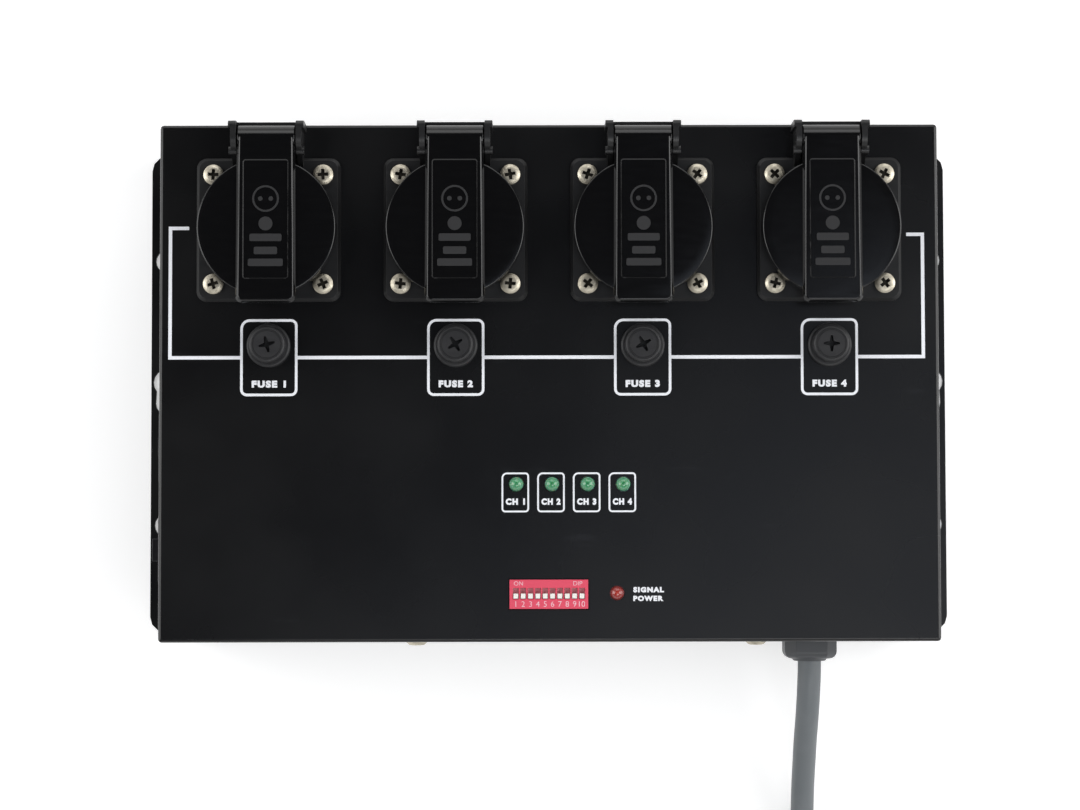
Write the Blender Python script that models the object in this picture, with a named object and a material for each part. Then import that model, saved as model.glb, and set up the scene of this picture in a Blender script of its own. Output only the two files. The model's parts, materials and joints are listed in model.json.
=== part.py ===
"""DMX switch pack: a sheet-steel box with four lidded sockets, fuses, lamps and a DIP switch.

Metres, +Z up. The box lies on its back, so its front panel faces +Z, and its origin is the middle
of the back. +Y is the socket side and -Y is the side where the mains lead leaves.
"""

import math

import bmesh
import bpy
from mathutils import Matrix, Vector
from mathutils.geometry import interpolate_bezier

# Clearances
GAP = 0.0003
SCREW_CLEARANCE = 0.00035
SLIDE_CLEARANCE = 0.00022
CUTTER_REACH = 0.0015

# Case
CASE_LENGTH = 0.271
CASE_WIDTH = 0.180
CASE_HEIGHT = 0.068
COVER_SHEET = 0.0012
COVER_BEND = 0.0012
BASE_SHEET = 0.0015
EAR_REACH = 0.012
EAR_CORNER = 0.0055

# Mounting holes in the ears
EAR_HOLE_RADIUS = 0.00425
EAR_HOLE_INSET = 0.0058
EAR_HOLE_PITCH = 0.0983
KEYHOLE_HEAD_RADIUS = 0.0050
KEYHOLE_NECK_RADIUS = 0.0041
KEYHOLE_REACH = 0.0078
KEYHOLE_SHOULDER_ANGLE = 40

# Cover screws and the base's upright tabs that they enter
SCREW_X_LEFT = -0.0476
SCREW_X_RIGHT = 0.0743
SCREW_HEIGHT = 0.030
SCREW_RADIUS = 0.0020
SCREW_LENGTH = 0.0075
SCREW_HEAD_RADIUS = 0.0037
SCREW_HEAD_HEIGHT = 0.0025
SCREW_HEAD_ROUND = 0.0008
SCREW_SLOT_WIDTH = 0.0009
SCREW_SLOT_DEPTH = 0.0011
TAB_WIDTH = 0.018
TAB_HEIGHT = 0.037

# Sockets
SOCKET_COUNT = 4
SOCKET_PITCH = 0.0649
SOCKET_INSET = 0.0370
SOCKET_Y = CASE_WIDTH / 2 - SOCKET_INSET
FLANGE_SIZE = 0.050
FLANGE_CORNER = 0.0035
FLANGE_THICKNESS = 0.0028
SOCKET_SCREW_PITCH = 0.038
SOCKET_SCREW_RADIUS = 0.0015
WELL_RADIUS = 0.0197
WELL_DEPTH = 0.0175
COLLAR_WALL = 0.0015
COLLAR_HEIGHT = 0.0085
BARREL_WALL = 0.0018
BARREL_DEPTH = 0.032
PIN_HOLE_RADIUS = 0.0026
PIN_HOLE_OFFSET = 0.0095
PIN_HOLE_DEPTH = 0.019

# Lid and its hinge
HINGE_OFFSET = 0.031
HINGE_RISE = 0.0095
HINGE_PIN_RADIUS = 0.0014
LID_BARREL_RADIUS = 0.0043
EAR_RADIUS = 0.0046
EAR_THICKNESS = 0.0027
EAR_TOE = 0.010
EAR_ROUND_ANGLE = 140
LID_RADIUS = 0.0239
LID_WALL = 0.0013
LID_TOP = 0.0025
LID_SKIRT = 0.0065
LID_EDGE = 0.0012
STRAP_WIDTH = 0.020
STRAP_RISE = 0.0018
STRAP_OVERHANG = 0.0024
STRAP_CORNER = 0.0022
STRAP_RECESS_WIDTH = 0.0150
STRAP_RECESS_LENGTH = 0.0405
STRAP_RECESS_DEPTH = 0.0005
STRAP_RECESS_START = 0.0083

# Fuses
FUSE_DROP = 0.04025
FUSE_Y = SOCKET_Y - FUSE_DROP
FUSE_RADIUS = 0.0026
FUSE_LENGTH = 0.020
FUSE_CLEARANCE = 0.0004
HOLDER_RADIUS = 0.0062
HOLDER_RING_RADIUS = 0.0076
HOLDER_RING_HEIGHT = 0.0022
HOLDER_NUT_RADIUS = 0.0084
HOLDER_NUT_HEIGHT = 0.0030
HOLDER_FLOOR = 0.0020
CAP_RADIUS = 0.0063
CAP_HEIGHT = 0.0052
CAP_ROUND = 0.0009
CAP_STEM_RADIUS = 0.0047
CAP_STEM_LENGTH = 0.0130
CAP_GRIP_DEPTH = 0.0055
CROSS_LENGTH = 0.0056
CROSS_WIDTH = 0.0015
CROSS_DEPTH = 0.0034

# Lamps
LED_RADIUS = 0.0025
LED_RISE = 0.0026
LED_FOOT_RADIUS = 0.0029
LED_PITCH = 0.01236
LED_FIRST_X = -0.0115
LED_INSET = 0.0546
LED_Y = LED_INSET - CASE_WIDTH / 2
SIGNAL_LED_X = 0.0233
SIGNAL_LED_INSET = 0.0169
SIGNAL_LED_Y = SIGNAL_LED_INSET - CASE_WIDTH / 2

# DIP switch
DIP_X = -0.0003
DIP_INSET = 0.0165
DIP_Y = DIP_INSET - CASE_WIDTH / 2
DIP_LENGTH = 0.0272
DIP_WIDTH = 0.0101
DIP_RISE = 0.0010
LEVER_COUNT = 10
LEVER_PITCH = 0.00254
LEVER_WIDTH = 0.0016
LEVER_LENGTH = 0.0017
LEVER_RISE = 0.0004
LEVER_TRAVEL = 0.0017
LEVER_OFFSET = -0.0006
SLOT_DEPTH = 0.0018

# Circuit boards and what stands on them
BOARD_SHEET = 0.0016
CONTROL_BOARD_DEPTH = 0.0075
CONTROL_BOARD_X = 0.0060
CONTROL_BOARD_INSET = 0.0345
CONTROL_BOARD_Y = CONTROL_BOARD_INSET - CASE_WIDTH / 2
CONTROL_BOARD_LENGTH = 0.072
CONTROL_BOARD_WIDTH = 0.056
STANDOFF_RADIUS = 0.0028
STANDOFF_INSET = 0.0045
RELAY_BOARD_DROP = 0.0480
RELAY_BOARD_Y = SOCKET_Y - RELAY_BOARD_DROP
RELAY_BOARD_LENGTH = 0.156
RELAY_BOARD_WIDTH = 0.052
RELAY_BOARD_RISE = 0.0060
RELAY_PITCH = 0.036
RELAY_LENGTH = 0.0285
RELAY_WIDTH = 0.0125
RELAY_HEIGHT = 0.0157
RELAY_OFFSET = -0.0130
RELAY_ROUND = 0.0006
TERMINAL_LENGTH = 0.120
TERMINAL_WIDTH = 0.0090
TERMINAL_HEIGHT = 0.0110
TERMINAL_OFFSET = 0.0185
TRANSFORMER_X = 0.0560
TRANSFORMER_INSET = 0.0370
TRANSFORMER_Y = TRANSFORMER_INSET - CASE_WIDTH / 2
CORE_LENGTH = 0.042
CORE_WIDTH = 0.015
CORE_HEIGHT = 0.035
BOBBIN_LENGTH = 0.028
BOBBIN_WIDTH = 0.032
BOBBIN_HEIGHT = 0.022
FOOT_LENGTH = 0.056
FOOT_SHEET = 0.0012

# Signal connectors in the left wall
CONNECTOR_HEIGHT = 0.034
CONNECTOR_OUTPUT_INSET = 0.032
CONNECTOR_PITCH = 0.036
CONNECTOR_FLANGE_WIDTH = 0.026
CONNECTOR_FLANGE_HEIGHT = 0.031
CONNECTOR_FLANGE_THICKNESS = 0.0024
CONNECTOR_CORNER = 0.0030
CONNECTOR_BODY_RADIUS = 0.0118
CONNECTOR_BODY_DEPTH = 0.020
CONNECTOR_CAVITY_RADIUS = 0.0096
CONNECTOR_CAVITY_DEPTH = 0.0145
CONTACT_RADIUS = 0.0012
CONTACT_CIRCLE = 0.0044
CONTACT_SETBACK = 0.0015
INSERT_RADIUS = 0.0081
CONTACT_HOLE_RADIUS = 0.0014
LATCH_WIDTH = 0.0080
LATCH_THICKNESS = 0.0030
LATCH_OFFSET = 0.0127
LATCH_RISE = 0.0022
LATCH_LENGTH = 0.0090
LATCH_TRAVEL = 0.0018
LATCH_HOUSING_WALL = 0.0010

# Strain relief and mains lead
BUSHING_X = 0.0932
BUSHING_HEIGHT = 0.033
BUSHING_SIZE = 0.0185
BUSHING_CHAMFER = 0.0037
BUSHING_HEAD = 0.0069
BUSHING_NOSE_RADIUS = 0.0065
BUSHING_NOSE_TIP_RADIUS = 0.0060
BUSHING_NOSE = 0.0009
BUSHING_NECK_RADIUS = 0.0063
BUSHING_TAIL_RADIUS = 0.0072
BUSHING_TAIL = 0.012
CORD_RADIUS = 0.0042
CORD_INSERTION = 0.0045
CORD_FLOOR_GAP = 0.0002
COIL_RADIUS = 0.050
COIL_CENTRE_Y = -0.2225
COIL_STRANDS_WIDE = 3
COIL_ROW_RISE = 0.0073
TAIL_REACH = 0.045
TAIL_START = 0.0075
TAIL_STRAIGHT = 0.009
PLUG_SLEEVE_RADIUS = 0.0056
PLUG_SLEEVE_LENGTH = 0.024
PLUG_WAIST_RADIUS = 0.0090
PLUG_RADIUS = 0.0186
PLUG_EDGE = 0.0015
PLUG_BODY_LENGTH = 0.034
PLUG_PIN_RADIUS = 0.0024
PLUG_PIN_LENGTH = 0.019

SMOOTH_ANGLE = 35
ROUND_SEGMENTS = 18
WIDE_SEGMENTS = 30
SMALL_SEGMENTS = 10

# The lead's route from its entry in the strain relief to the coil, chosen by hand: X, Y, Z
LEAD_ROUTE = (
    (0.0932, -0.0936, 0.0330),
    (0.0932, -0.0986, 0.0330),
    (0.0931, -0.1040, 0.0327),
    (0.0929, -0.1110, 0.0312),
    (0.0927, -0.1190, 0.0279),
    (0.0925, -0.1270, 0.0233),
    (0.0925, -0.1350, 0.0184),
    (0.0925, -0.1430, 0.0137),
    (0.0926, -0.1510, 0.0096),
    (0.0927, -0.1590, 0.0065),
    (0.0929, -0.1670, 0.0048),
    (0.0931, -0.1750, 0.0044),
    (0.0932, -0.1830, 0.0044),
    (0.0932, -0.1907, 0.0044),
)


def clear_scene():
    """Start from an empty scene."""
    for item in list(bpy.data.objects):
        bpy.data.objects.remove(item, do_unlink=True)


def finish(name, colour, roughness, metallic=0.0):
    """Return a Principled material."""
    material = bpy.data.materials.new(name)
    material.use_nodes = True
    shader = material.node_tree.nodes["Principled BSDF"]
    shader.inputs["Base Color"].default_value = (*colour, 1.0)
    shader.inputs["Roughness"].default_value = roughness
    shader.inputs["Metallic"].default_value = metallic
    return material


def prism(outline, bottom, top):
    """Return a closed prism: a counter-clockwise XY outline between two heights."""
    mesh = bmesh.new()
    lower = [mesh.verts.new((x, y, bottom)) for x, y in outline]
    upper = [mesh.verts.new((x, y, top)) for x, y in outline]
    count = len(outline)
    mesh.faces.new(reversed(lower))
    mesh.faces.new(upper)
    for index in range(count):
        following = (index + 1) % count
        mesh.faces.new((lower[index], lower[following], upper[following], upper[index]))
    return mesh


def block(length, width, bottom, top, x=0.0, y=0.0):
    """Return a box centred on x and y between two heights."""
    half_length = length / 2
    half_width = width / 2
    outline = (
        (x - half_length, y - half_width),
        (x + half_length, y - half_width),
        (x + half_length, y + half_width),
        (x - half_length, y + half_width),
    )
    return prism(outline, bottom, top)


def arc(x, y, radius, start, end, segments):
    """Return points on an arc between two angles in degrees."""
    points = []
    for step in range(segments + 1):
        angle = math.radians(start + (end - start) * step / segments)
        points.append((x + radius * math.cos(angle), y + radius * math.sin(angle)))
    return points


def circle(radius, segments, x=0.0, y=0.0):
    """Return the points of a full circle."""
    return arc(x, y, radius, 0, 360, segments)[:-1]


def rounded_rectangle(length, width, radius, segments=3, y=0.0):
    """Return a rectangle's outline with round corners."""
    right = length / 2 - radius
    top = width / 2 - radius
    points = arc(right, y + top, radius, 0, 90, segments)
    points += arc(-right, y + top, radius, 90, 180, segments)
    points += arc(-right, y - top, radius, 180, 270, segments)
    points += arc(right, y - top, radius, 270, 360, segments)
    return points


def rod(radius, bottom, top, segments=ROUND_SEGMENTS, x=0.0, y=0.0):
    """Return an upright cylinder."""
    return prism(circle(radius, segments, x, y), bottom, top)


def turned(profile, segments=ROUND_SEGMENTS):
    """Return a solid turned about Z from a profile of radius and height, top of the outside first."""
    mesh = bmesh.new()
    rings = []
    for radius, height in profile:
        if radius == 0:
            rings.append([mesh.verts.new((0, 0, height))])
        else:
            rings.append([mesh.verts.new((x, y, height)) for x, y in circle(radius, segments)])
    for upper, lower in zip(rings, rings[1:] + rings[:1]):
        for index in range(segments):
            following = (index + 1) % segments
            corners = [
                upper[index % len(upper)],
                lower[index % len(lower)],
                lower[following % len(lower)],
                upper[following % len(upper)],
            ]
            distinct = list(dict.fromkeys(corners))
            if len(distinct) > 2:
                mesh.faces.new(distinct)
    bmesh.ops.remove_doubles(mesh, verts=mesh.verts, dist=1e-7)
    bmesh.ops.recalc_face_normals(mesh, faces=mesh.faces)
    return mesh


def bevelled(mesh, offset, segments, choose):
    """Round the edges of a shape that the choose function picks by their end points."""
    edges = [edge for edge in mesh.edges if choose(edge.verts[0].co, edge.verts[1].co)]
    bmesh.ops.bevel(
        mesh, geom=edges, offset=offset, segments=segments, profile=0.5, affect="EDGES", clamp_overlap=True
    )
    return mesh


def placed(mesh, matrix):
    """Move a shape by a matrix."""
    bmesh.ops.transform(mesh, matrix=matrix, verts=mesh.verts)
    return mesh


def moved(mesh, x=0.0, y=0.0, z=0.0):
    """Shift a shape."""
    return placed(mesh, Matrix.Translation((x, y, z)))


def laid_along_x(mesh):
    """Turn a shape's own Z axis to +X, its X axis to +Y and its Y axis to +Z."""
    return placed(mesh, Matrix(((0, 0, 1, 0), (1, 0, 0, 0), (0, 1, 0, 0), (0, 0, 0, 1))))


def helper_object(shapes):
    """Return a hidden object that holds one or more shapes."""
    mesh = bpy.data.meshes.new("helper")
    joined = bmesh.new()
    for shape in shapes:
        part = bpy.data.meshes.new("part")
        shape.to_mesh(part)
        shape.free()
        joined.from_mesh(part)
        bpy.data.meshes.remove(part)
    joined.to_mesh(mesh)
    joined.free()
    item = bpy.data.objects.new("helper", mesh)
    bpy.context.collection.objects.link(item)
    item.hide_render = True
    item.display_type = "WIRE"
    return item


def apply_boolean(item, shapes, operation):
    """Join shapes to an object's mesh or cut them from it, in the object's own space."""
    bpy.context.view_layer.update()
    helper = helper_object(shapes)
    helper.matrix_world = item.matrix_world
    modifier = item.modifiers.new(operation, "BOOLEAN")
    modifier.operation = operation
    modifier.solver = "EXACT"
    modifier.use_self = operation == "UNION" and len(shapes) > 1
    modifier.object = helper
    bpy.context.view_layer.update()
    graph = bpy.context.evaluated_depsgraph_get()
    result = bpy.data.meshes.new_from_object(item.evaluated_get(graph))
    item.modifiers.remove(modifier)
    replaced = item.data
    item.data = result
    bpy.data.meshes.remove(replaced)
    bpy.data.objects.remove(helper)


def shade(item):
    """Shade an object smooth with sharp corners."""
    item.data.shade_smooth()
    item.data.set_sharp_from_angle(angle=math.radians(SMOOTH_ANGLE))


def node(name, shape, material, location=(0, 0, 0), rotation=(0, 0, 0), add=(), cut=(), smooth=True):
    """Make one named solid from a shape, with shapes joined to it and cut from it."""
    mesh = bpy.data.meshes.new(name)
    shape.to_mesh(mesh)
    shape.free()
    item = bpy.data.objects.new(name, mesh)
    bpy.context.collection.objects.link(item)
    for extra in add:
        apply_boolean(item, [extra], "UNION")
    if cut:
        apply_boolean(item, list(cut), "DIFFERENCE")
    item.data.name = name
    item.data.materials.clear()
    item.data.materials.append(material)
    if smooth:
        shade(item)
    item.location = location
    item.rotation_euler = rotation
    return item


def copy_node(item, name, location):
    """Return a second object that shares the first one's mesh."""
    twin = bpy.data.objects.new(name, item.data)
    bpy.context.collection.objects.link(twin)
    twin.location = location
    twin.rotation_euler = item.rotation_euler
    return twin


def repeat_node(item, stem, locations):
    """Name an object stem_1 at the first place and add a twin at each other place."""
    item.name = f"{stem}_1"
    item.location = locations[0]
    items = [item]
    for number, location in enumerate(locations[1:], start=2):
        items.append(copy_node(item, f"{stem}_{number}", location))
    return items


def put_on_axis(item, name, location):
    """Carry a moving piece on an empty that stands on its joint's axis."""
    axis = bpy.data.objects.new(name, None)
    bpy.context.collection.objects.link(axis)
    axis.location = location
    item.location = (0, 0, 0)
    item.parent = axis


def socket_places():
    """Return the X of each channel's socket and fuse."""
    middle = (SOCKET_COUNT - 1) / 2
    return [(index - middle) * SOCKET_PITCH for index in range(SOCKET_COUNT)]


def channel_led_places():
    """Return the X of each channel's lamp."""
    return [LED_FIRST_X + index * LED_PITCH for index in range(SOCKET_COUNT)]


def board_corner_places(length, width, y=0.0):
    """Return where the four standoffs of a circuit board stand."""
    reach_x = length / 2 - STANDOFF_INSET
    reach_y = width / 2 - STANDOFF_INSET
    return [(side * reach_x, y + end * reach_y) for side in (-1, 1) for end in (-1, 1)]


def cover_screw_places():
    """Return the X and the wall side of each cover screw."""
    return [(x, side) for side in (-1, 1) for x in (SCREW_X_LEFT, SCREW_X_RIGHT)]


def barrel_radius():
    """Return the outer radius of a socket's barrel behind the panel."""
    return WELL_RADIUS + BARREL_WALL


def connector_frame(y):
    """Return the matrix that sets a connector's own axis outwards through the left wall."""
    place = Matrix.Translation((-CASE_LENGTH / 2, y, CONNECTOR_HEIGHT))
    return place @ Matrix.Rotation(-math.pi / 2, 4, "Y")


def connector_places():
    """Return the Y of the input and of the output connector."""
    output_y = CONNECTOR_OUTPUT_INSET - CASE_WIDTH / 2
    return output_y + CONNECTOR_PITCH, output_y


def latch_housing_size():
    """Return the width, thickness and depth of the housing around the latch's slot."""
    around = 2 * (LATCH_HOUSING_WALL + SLIDE_CLEARANCE)
    depth = LATCH_LENGTH - LATCH_RISE + LATCH_TRAVEL + GAP + LATCH_HOUSING_WALL
    return LATCH_WIDTH + around, LATCH_THICKNESS + around, depth


def wall_frame(x, height, side=-1):
    """Return the matrix that sets a piece's own axis outwards through a long wall."""
    place = Matrix.Translation((x, side * CASE_WIDTH / 2, height))
    return place @ Matrix.Rotation(-side * math.pi / 2, 4, "X")


def screw_hole(x, side, depth):
    """Return the cutter of a cover screw's hole, from outside the wall to a depth behind its face."""
    hole = rod(SCREW_RADIUS + SCREW_CLEARANCE, -depth, CUTTER_REACH, SMALL_SEGMENTS)
    return placed(hole, wall_frame(x, SCREW_HEIGHT, side))


def panel_cuts():
    """Return the cutters of every opening in the front panel."""
    low = CASE_HEIGHT - COVER_SHEET - CUTTER_REACH
    high = CASE_HEIGHT + CUTTER_REACH
    cuts = []
    for x in socket_places():
        cuts.append(rod(barrel_radius() + GAP, low, high, WIDE_SEGMENTS, x, SOCKET_Y))
        cuts.append(rod(HOLDER_RADIUS + GAP, low, high, ROUND_SEGMENTS, x, FUSE_Y))
    for x in channel_led_places():
        cuts.append(rod(LED_RADIUS + GAP, low, high, SMALL_SEGMENTS, x, LED_Y))
    cuts.append(rod(LED_RADIUS + GAP, low, high, SMALL_SEGMENTS, SIGNAL_LED_X, SIGNAL_LED_Y))
    cuts.append(block(DIP_LENGTH + 2 * GAP, DIP_WIDTH + 2 * GAP, low, high, DIP_X, DIP_Y))
    return cuts


def wall_cuts():
    """Return the cutters of the connector, strain relief and screw holes in the walls."""
    depth = COVER_SHEET + CUTTER_REACH

    def body_hole():
        return rod(CONNECTOR_BODY_RADIUS + GAP, -depth, CUTTER_REACH, WIDE_SEGMENTS)

    width, thickness, _ = latch_housing_size()
    notch_top = LATCH_OFFSET + thickness / 2 + GAP
    notch = block(notch_top, width + 2 * GAP, -depth, CUTTER_REACH, x=notch_top / 2)
    input_y, output_y = connector_places()
    neck = rod(BUSHING_NECK_RADIUS + GAP, -depth, CUTTER_REACH)
    cuts = [
        placed(body_hole(), connector_frame(input_y)),
        placed(merged(body_hole(), notch), connector_frame(output_y)),
        placed(neck, wall_frame(BUSHING_X, BUSHING_HEIGHT)),
    ]
    return cuts + [screw_hole(x, side, depth) for x, side in cover_screw_places()]


def turned_out(shape):
    """Point a closed shape's faces outwards."""
    bmesh.ops.recalc_face_normals(shape, faces=shape.faces)
    return shape


def merged(first, second):
    """Return the Boolean union of two shapes as one shape."""
    item = helper_object([first])
    apply_boolean(item, [second], "UNION")
    shape = bmesh.new()
    shape.from_mesh(item.data)
    bpy.data.objects.remove(item)
    return shape


def make_cover(steel):
    """Five-sided folded cover: the front panel and four walls around the base."""
    outside = block(CASE_LENGTH, CASE_WIDTH, GAP, CASE_HEIGHT)

    def is_fold(first, second):
        return first.z > CASE_HEIGHT / 2 or second.z > CASE_HEIGHT / 2

    bevelled(outside, COVER_BEND, 3, is_fold)
    inside_length = CASE_LENGTH - 2 * COVER_SHEET
    inside_width = CASE_WIDTH - 2 * COVER_SHEET
    inside = block(inside_length, inside_width, -COVER_SHEET, CASE_HEIGHT - COVER_SHEET)
    under_walls = block(CASE_LENGTH + EAR_REACH, inside_width, -COVER_SHEET, BASE_SHEET + GAP)
    item = node("cover", outside, steel, cut=[merged(inside, under_walls)])
    apply_boolean(item, panel_cuts() + wall_cuts(), "DIFFERENCE")
    shade(item)


def base_width():
    """Return the base plate's width between the cover's long walls."""
    return CASE_WIDTH - 2 * COVER_SHEET - 2 * GAP


def make_base_plate(steel):
    """Back plate with its mounting ears, board standoffs and upright screw tabs."""
    length = CASE_LENGTH + 2 * EAR_REACH
    plate = prism(rounded_rectangle(length, base_width(), EAR_CORNER), 0, BASE_SHEET)
    add = []
    for x, side in cover_screw_places():
        y = side * (base_width() - BASE_SHEET) / 2
        add.append(block(TAB_WIDTH, BASE_SHEET, BASE_SHEET / 2, TAB_HEIGHT, x, y))
    standoff_top = BASE_SHEET + RELAY_BOARD_RISE
    for x, y in board_corner_places(RELAY_BOARD_LENGTH, RELAY_BOARD_WIDTH, RELAY_BOARD_Y):
        add.append(rod(STANDOFF_RADIUS, BASE_SHEET / 2, standoff_top, SMALL_SEGMENTS, x, y))
    cut = []
    low = -CUTTER_REACH
    high = BASE_SHEET + CUTTER_REACH
    for side in (-1, 1):
        x = side * (length / 2 - EAR_HOLE_INSET)
        for end in (-1, 1):
            cut.append(rod(EAR_HOLE_RADIUS, low, high, ROUND_SEGMENTS, x, end * EAR_HOLE_PITCH / 2))
        shoulder = KEYHOLE_SHOULDER_ANGLE
        head = arc(x, KEYHOLE_REACH / 2, KEYHOLE_HEAD_RADIUS, -shoulder, 180 + shoulder, 12)
        neck = arc(x, -KEYHOLE_REACH / 2, KEYHOLE_NECK_RADIUS, 180, 360, 8)
        cut.append(prism(head + neck, low, high))
    depth = COVER_SHEET + GAP + BASE_SHEET + CUTTER_REACH
    cut += [screw_hole(x, side, depth) for x, side in cover_screw_places()]
    node("base_plate", plate, steel, add=add, cut=cut)


def make_cover_screws(zinc):
    """Pan-head cross-recess screws that hold the cover on the base's tabs."""
    head_low = GAP
    head_top = head_low + SCREW_HEAD_HEIGHT
    profile = (
        (0, head_top),
        (SCREW_HEAD_RADIUS - 2 * SCREW_HEAD_ROUND, head_top),
        (SCREW_HEAD_RADIUS - SCREW_HEAD_ROUND / 2, head_top - SCREW_HEAD_ROUND / 2),
        (SCREW_HEAD_RADIUS, head_top - 3 * SCREW_HEAD_ROUND / 2),
        (SCREW_HEAD_RADIUS, head_low),
        (SCREW_RADIUS, head_low),
        (SCREW_RADIUS, -SCREW_LENGTH),
        (0, -SCREW_LENGTH),
    )
    slot_low = head_top - SCREW_SLOT_DEPTH
    cut = merged(
        block(SCREW_HEAD_RADIUS, SCREW_SLOT_WIDTH, slot_low, head_top + GAP),
        block(SCREW_SLOT_WIDTH, SCREW_HEAD_RADIUS, slot_low, head_top + GAP),
    )
    first = node("cover_screw_1", turned(profile, SMALL_SEGMENTS), zinc, cut=[cut])
    for number, (x, side) in enumerate(cover_screw_places(), start=1):
        item = first if number == 1 else copy_node(first, f"cover_screw_{number}", (0, 0, 0))
        item.matrix_world = wall_frame(x, SCREW_HEIGHT, side)


def hinge_ear(side):
    """Return one hinge ear of a socket, standing on the flange and the panel."""
    inner = STRAP_WIDTH / 2 + GAP
    start = inner if side > 0 else -inner - EAR_THICKNESS
    outline = [(HINGE_OFFSET - EAR_TOE, GAP), (HINGE_OFFSET + EAR_RADIUS, GAP)]
    outline += arc(HINGE_OFFSET, HINGE_RISE, EAR_RADIUS, 0, EAR_ROUND_ANGLE, 8)
    outline.append((HINGE_OFFSET - EAR_TOE, GAP + FLANGE_THICKNESS))
    return laid_along_x(prism(outline, start, start + EAR_THICKNESS))


def make_sockets(plastic):
    """Panel sockets: flange, collar, barrel, well with pin holes, and hinge ears."""
    collar_radius = WELL_RADIUS + COLLAR_WALL
    flange = prism(
        rounded_rectangle(FLANGE_SIZE, FLANGE_SIZE, FLANGE_CORNER), GAP, GAP + FLANGE_THICKNESS
    )
    well_floor = COLLAR_HEIGHT - WELL_DEPTH
    profile = (
        (0, COLLAR_HEIGHT),
        (collar_radius, COLLAR_HEIGHT),
        (collar_radius, GAP + FLANGE_THICKNESS / 2),
        (barrel_radius(), GAP + FLANGE_THICKNESS / 2),
        (barrel_radius(), -BARREL_DEPTH),
        (0, -BARREL_DEPTH),
    )
    cut = [rod(WELL_RADIUS, well_floor, COLLAR_HEIGHT + GAP, WIDE_SEGMENTS)]
    half_pitch = SOCKET_SCREW_PITCH / 2
    for x in (-half_pitch, half_pitch):
        for y in (-half_pitch, half_pitch):
            cut.append(rod(SOCKET_SCREW_RADIUS, 0, 2 * GAP + FLANGE_THICKNESS, 8, x, y))
    axle = laid_along_x(rod(HINGE_PIN_RADIUS + GAP, -FLANGE_SIZE, FLANGE_SIZE, SMALL_SEGMENTS))
    cut.append(moved(axle, y=HINGE_OFFSET, z=HINGE_RISE))
    item = node(
        "socket_frame",
        flange,
        plastic,
        add=[turned(profile, WIDE_SEGMENTS), hinge_ear(-1), hinge_ear(1)],
        cut=cut,
    )
    pin_hole_low = well_floor - PIN_HOLE_DEPTH
    pin_holes = [
        rod(PIN_HOLE_RADIUS, pin_hole_low, COLLAR_HEIGHT, SMALL_SEGMENTS, side * PIN_HOLE_OFFSET)
        for side in (-1, 1)
    ]
    apply_boolean(item, pin_holes, "DIFFERENCE")
    shade(item)
    repeat_node(item, "socket_frame", [(x, SOCKET_Y, CASE_HEIGHT) for x in socket_places()])


def hinge_places():
    """Return the middle of each lid's hinge axis."""
    return [(x, SOCKET_Y + HINGE_OFFSET, CASE_HEIGHT + HINGE_RISE) for x in socket_places()]


def make_lids(plastic):
    """Spring lids: a shallow cup with a raised strap that ends in a finger tab, on a barrel."""
    centre = -HINGE_OFFSET
    profile = (
        (0, LID_TOP),
        (LID_RADIUS - LID_EDGE, LID_TOP),
        (LID_RADIUS, LID_TOP - LID_EDGE),
        (LID_RADIUS, LID_TOP - LID_SKIRT),
        (LID_RADIUS - LID_WALL, LID_TOP - LID_SKIRT),
        (LID_RADIUS - LID_WALL, LID_TOP - LID_WALL),
        (0, LID_TOP - LID_WALL),
    )
    cup = moved(turned(profile, WIDE_SEGMENTS), y=centre)
    strap_top = LID_TOP + STRAP_RISE
    tab_end = HINGE_OFFSET + LID_RADIUS + STRAP_OVERHANG
    half = STRAP_WIDTH / 2
    outline = [(half, 0), (-half, 0)]
    outline += arc(-half + STRAP_CORNER, -tab_end + STRAP_CORNER, STRAP_CORNER, 180, 270, 3)
    outline += arc(half - STRAP_CORNER, -tab_end + STRAP_CORNER, STRAP_CORNER, 270, 360, 3)
    strap = prism(outline, LID_TOP - LID_WALL / 2, strap_top)
    barrel = laid_along_x(rod(LID_BARREL_RADIUS, -half, half, ROUND_SEGMENTS))
    recess_y = -STRAP_RECESS_START - STRAP_RECESS_LENGTH / 2
    recess = prism(
        rounded_rectangle(STRAP_RECESS_WIDTH, STRAP_RECESS_LENGTH, STRAP_CORNER / 2, 2, recess_y),
        strap_top - STRAP_RECESS_DEPTH,
        strap_top + GAP,
    )
    axle = laid_along_x(rod(HINGE_PIN_RADIUS + GAP, -STRAP_WIDTH, STRAP_WIDTH, SMALL_SEGMENTS))
    item = node("socket_lid", cup, plastic, add=[strap, barrel], cut=[recess, axle])
    lids = repeat_node(item, "socket_lid", hinge_places())
    for number, (lid, place) in enumerate(zip(lids, hinge_places()), start=1):
        put_on_axis(lid, f"lid_axis_{number}", place)


def make_hinge_pins(steel):
    """Blackened steel pins through the socket ears and the lids' barrels."""
    half = STRAP_WIDTH / 2 + GAP + EAR_THICKNESS
    item = node("hinge_pin", laid_along_x(rod(HINGE_PIN_RADIUS, -half, half, SMALL_SEGMENTS)), steel)
    repeat_node(item, "hinge_pin", hinge_places())


def cap_seat():
    """Return how high a fuse cap's head sits over the panel."""
    return GAP + HOLDER_RING_HEIGHT + GAP


def fuse_top():
    """Return the height of a fuse's upper end, seated in its cap's grip."""
    return cap_seat() - CAP_STEM_LENGTH + CAP_GRIP_DEPTH - GAP


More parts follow.
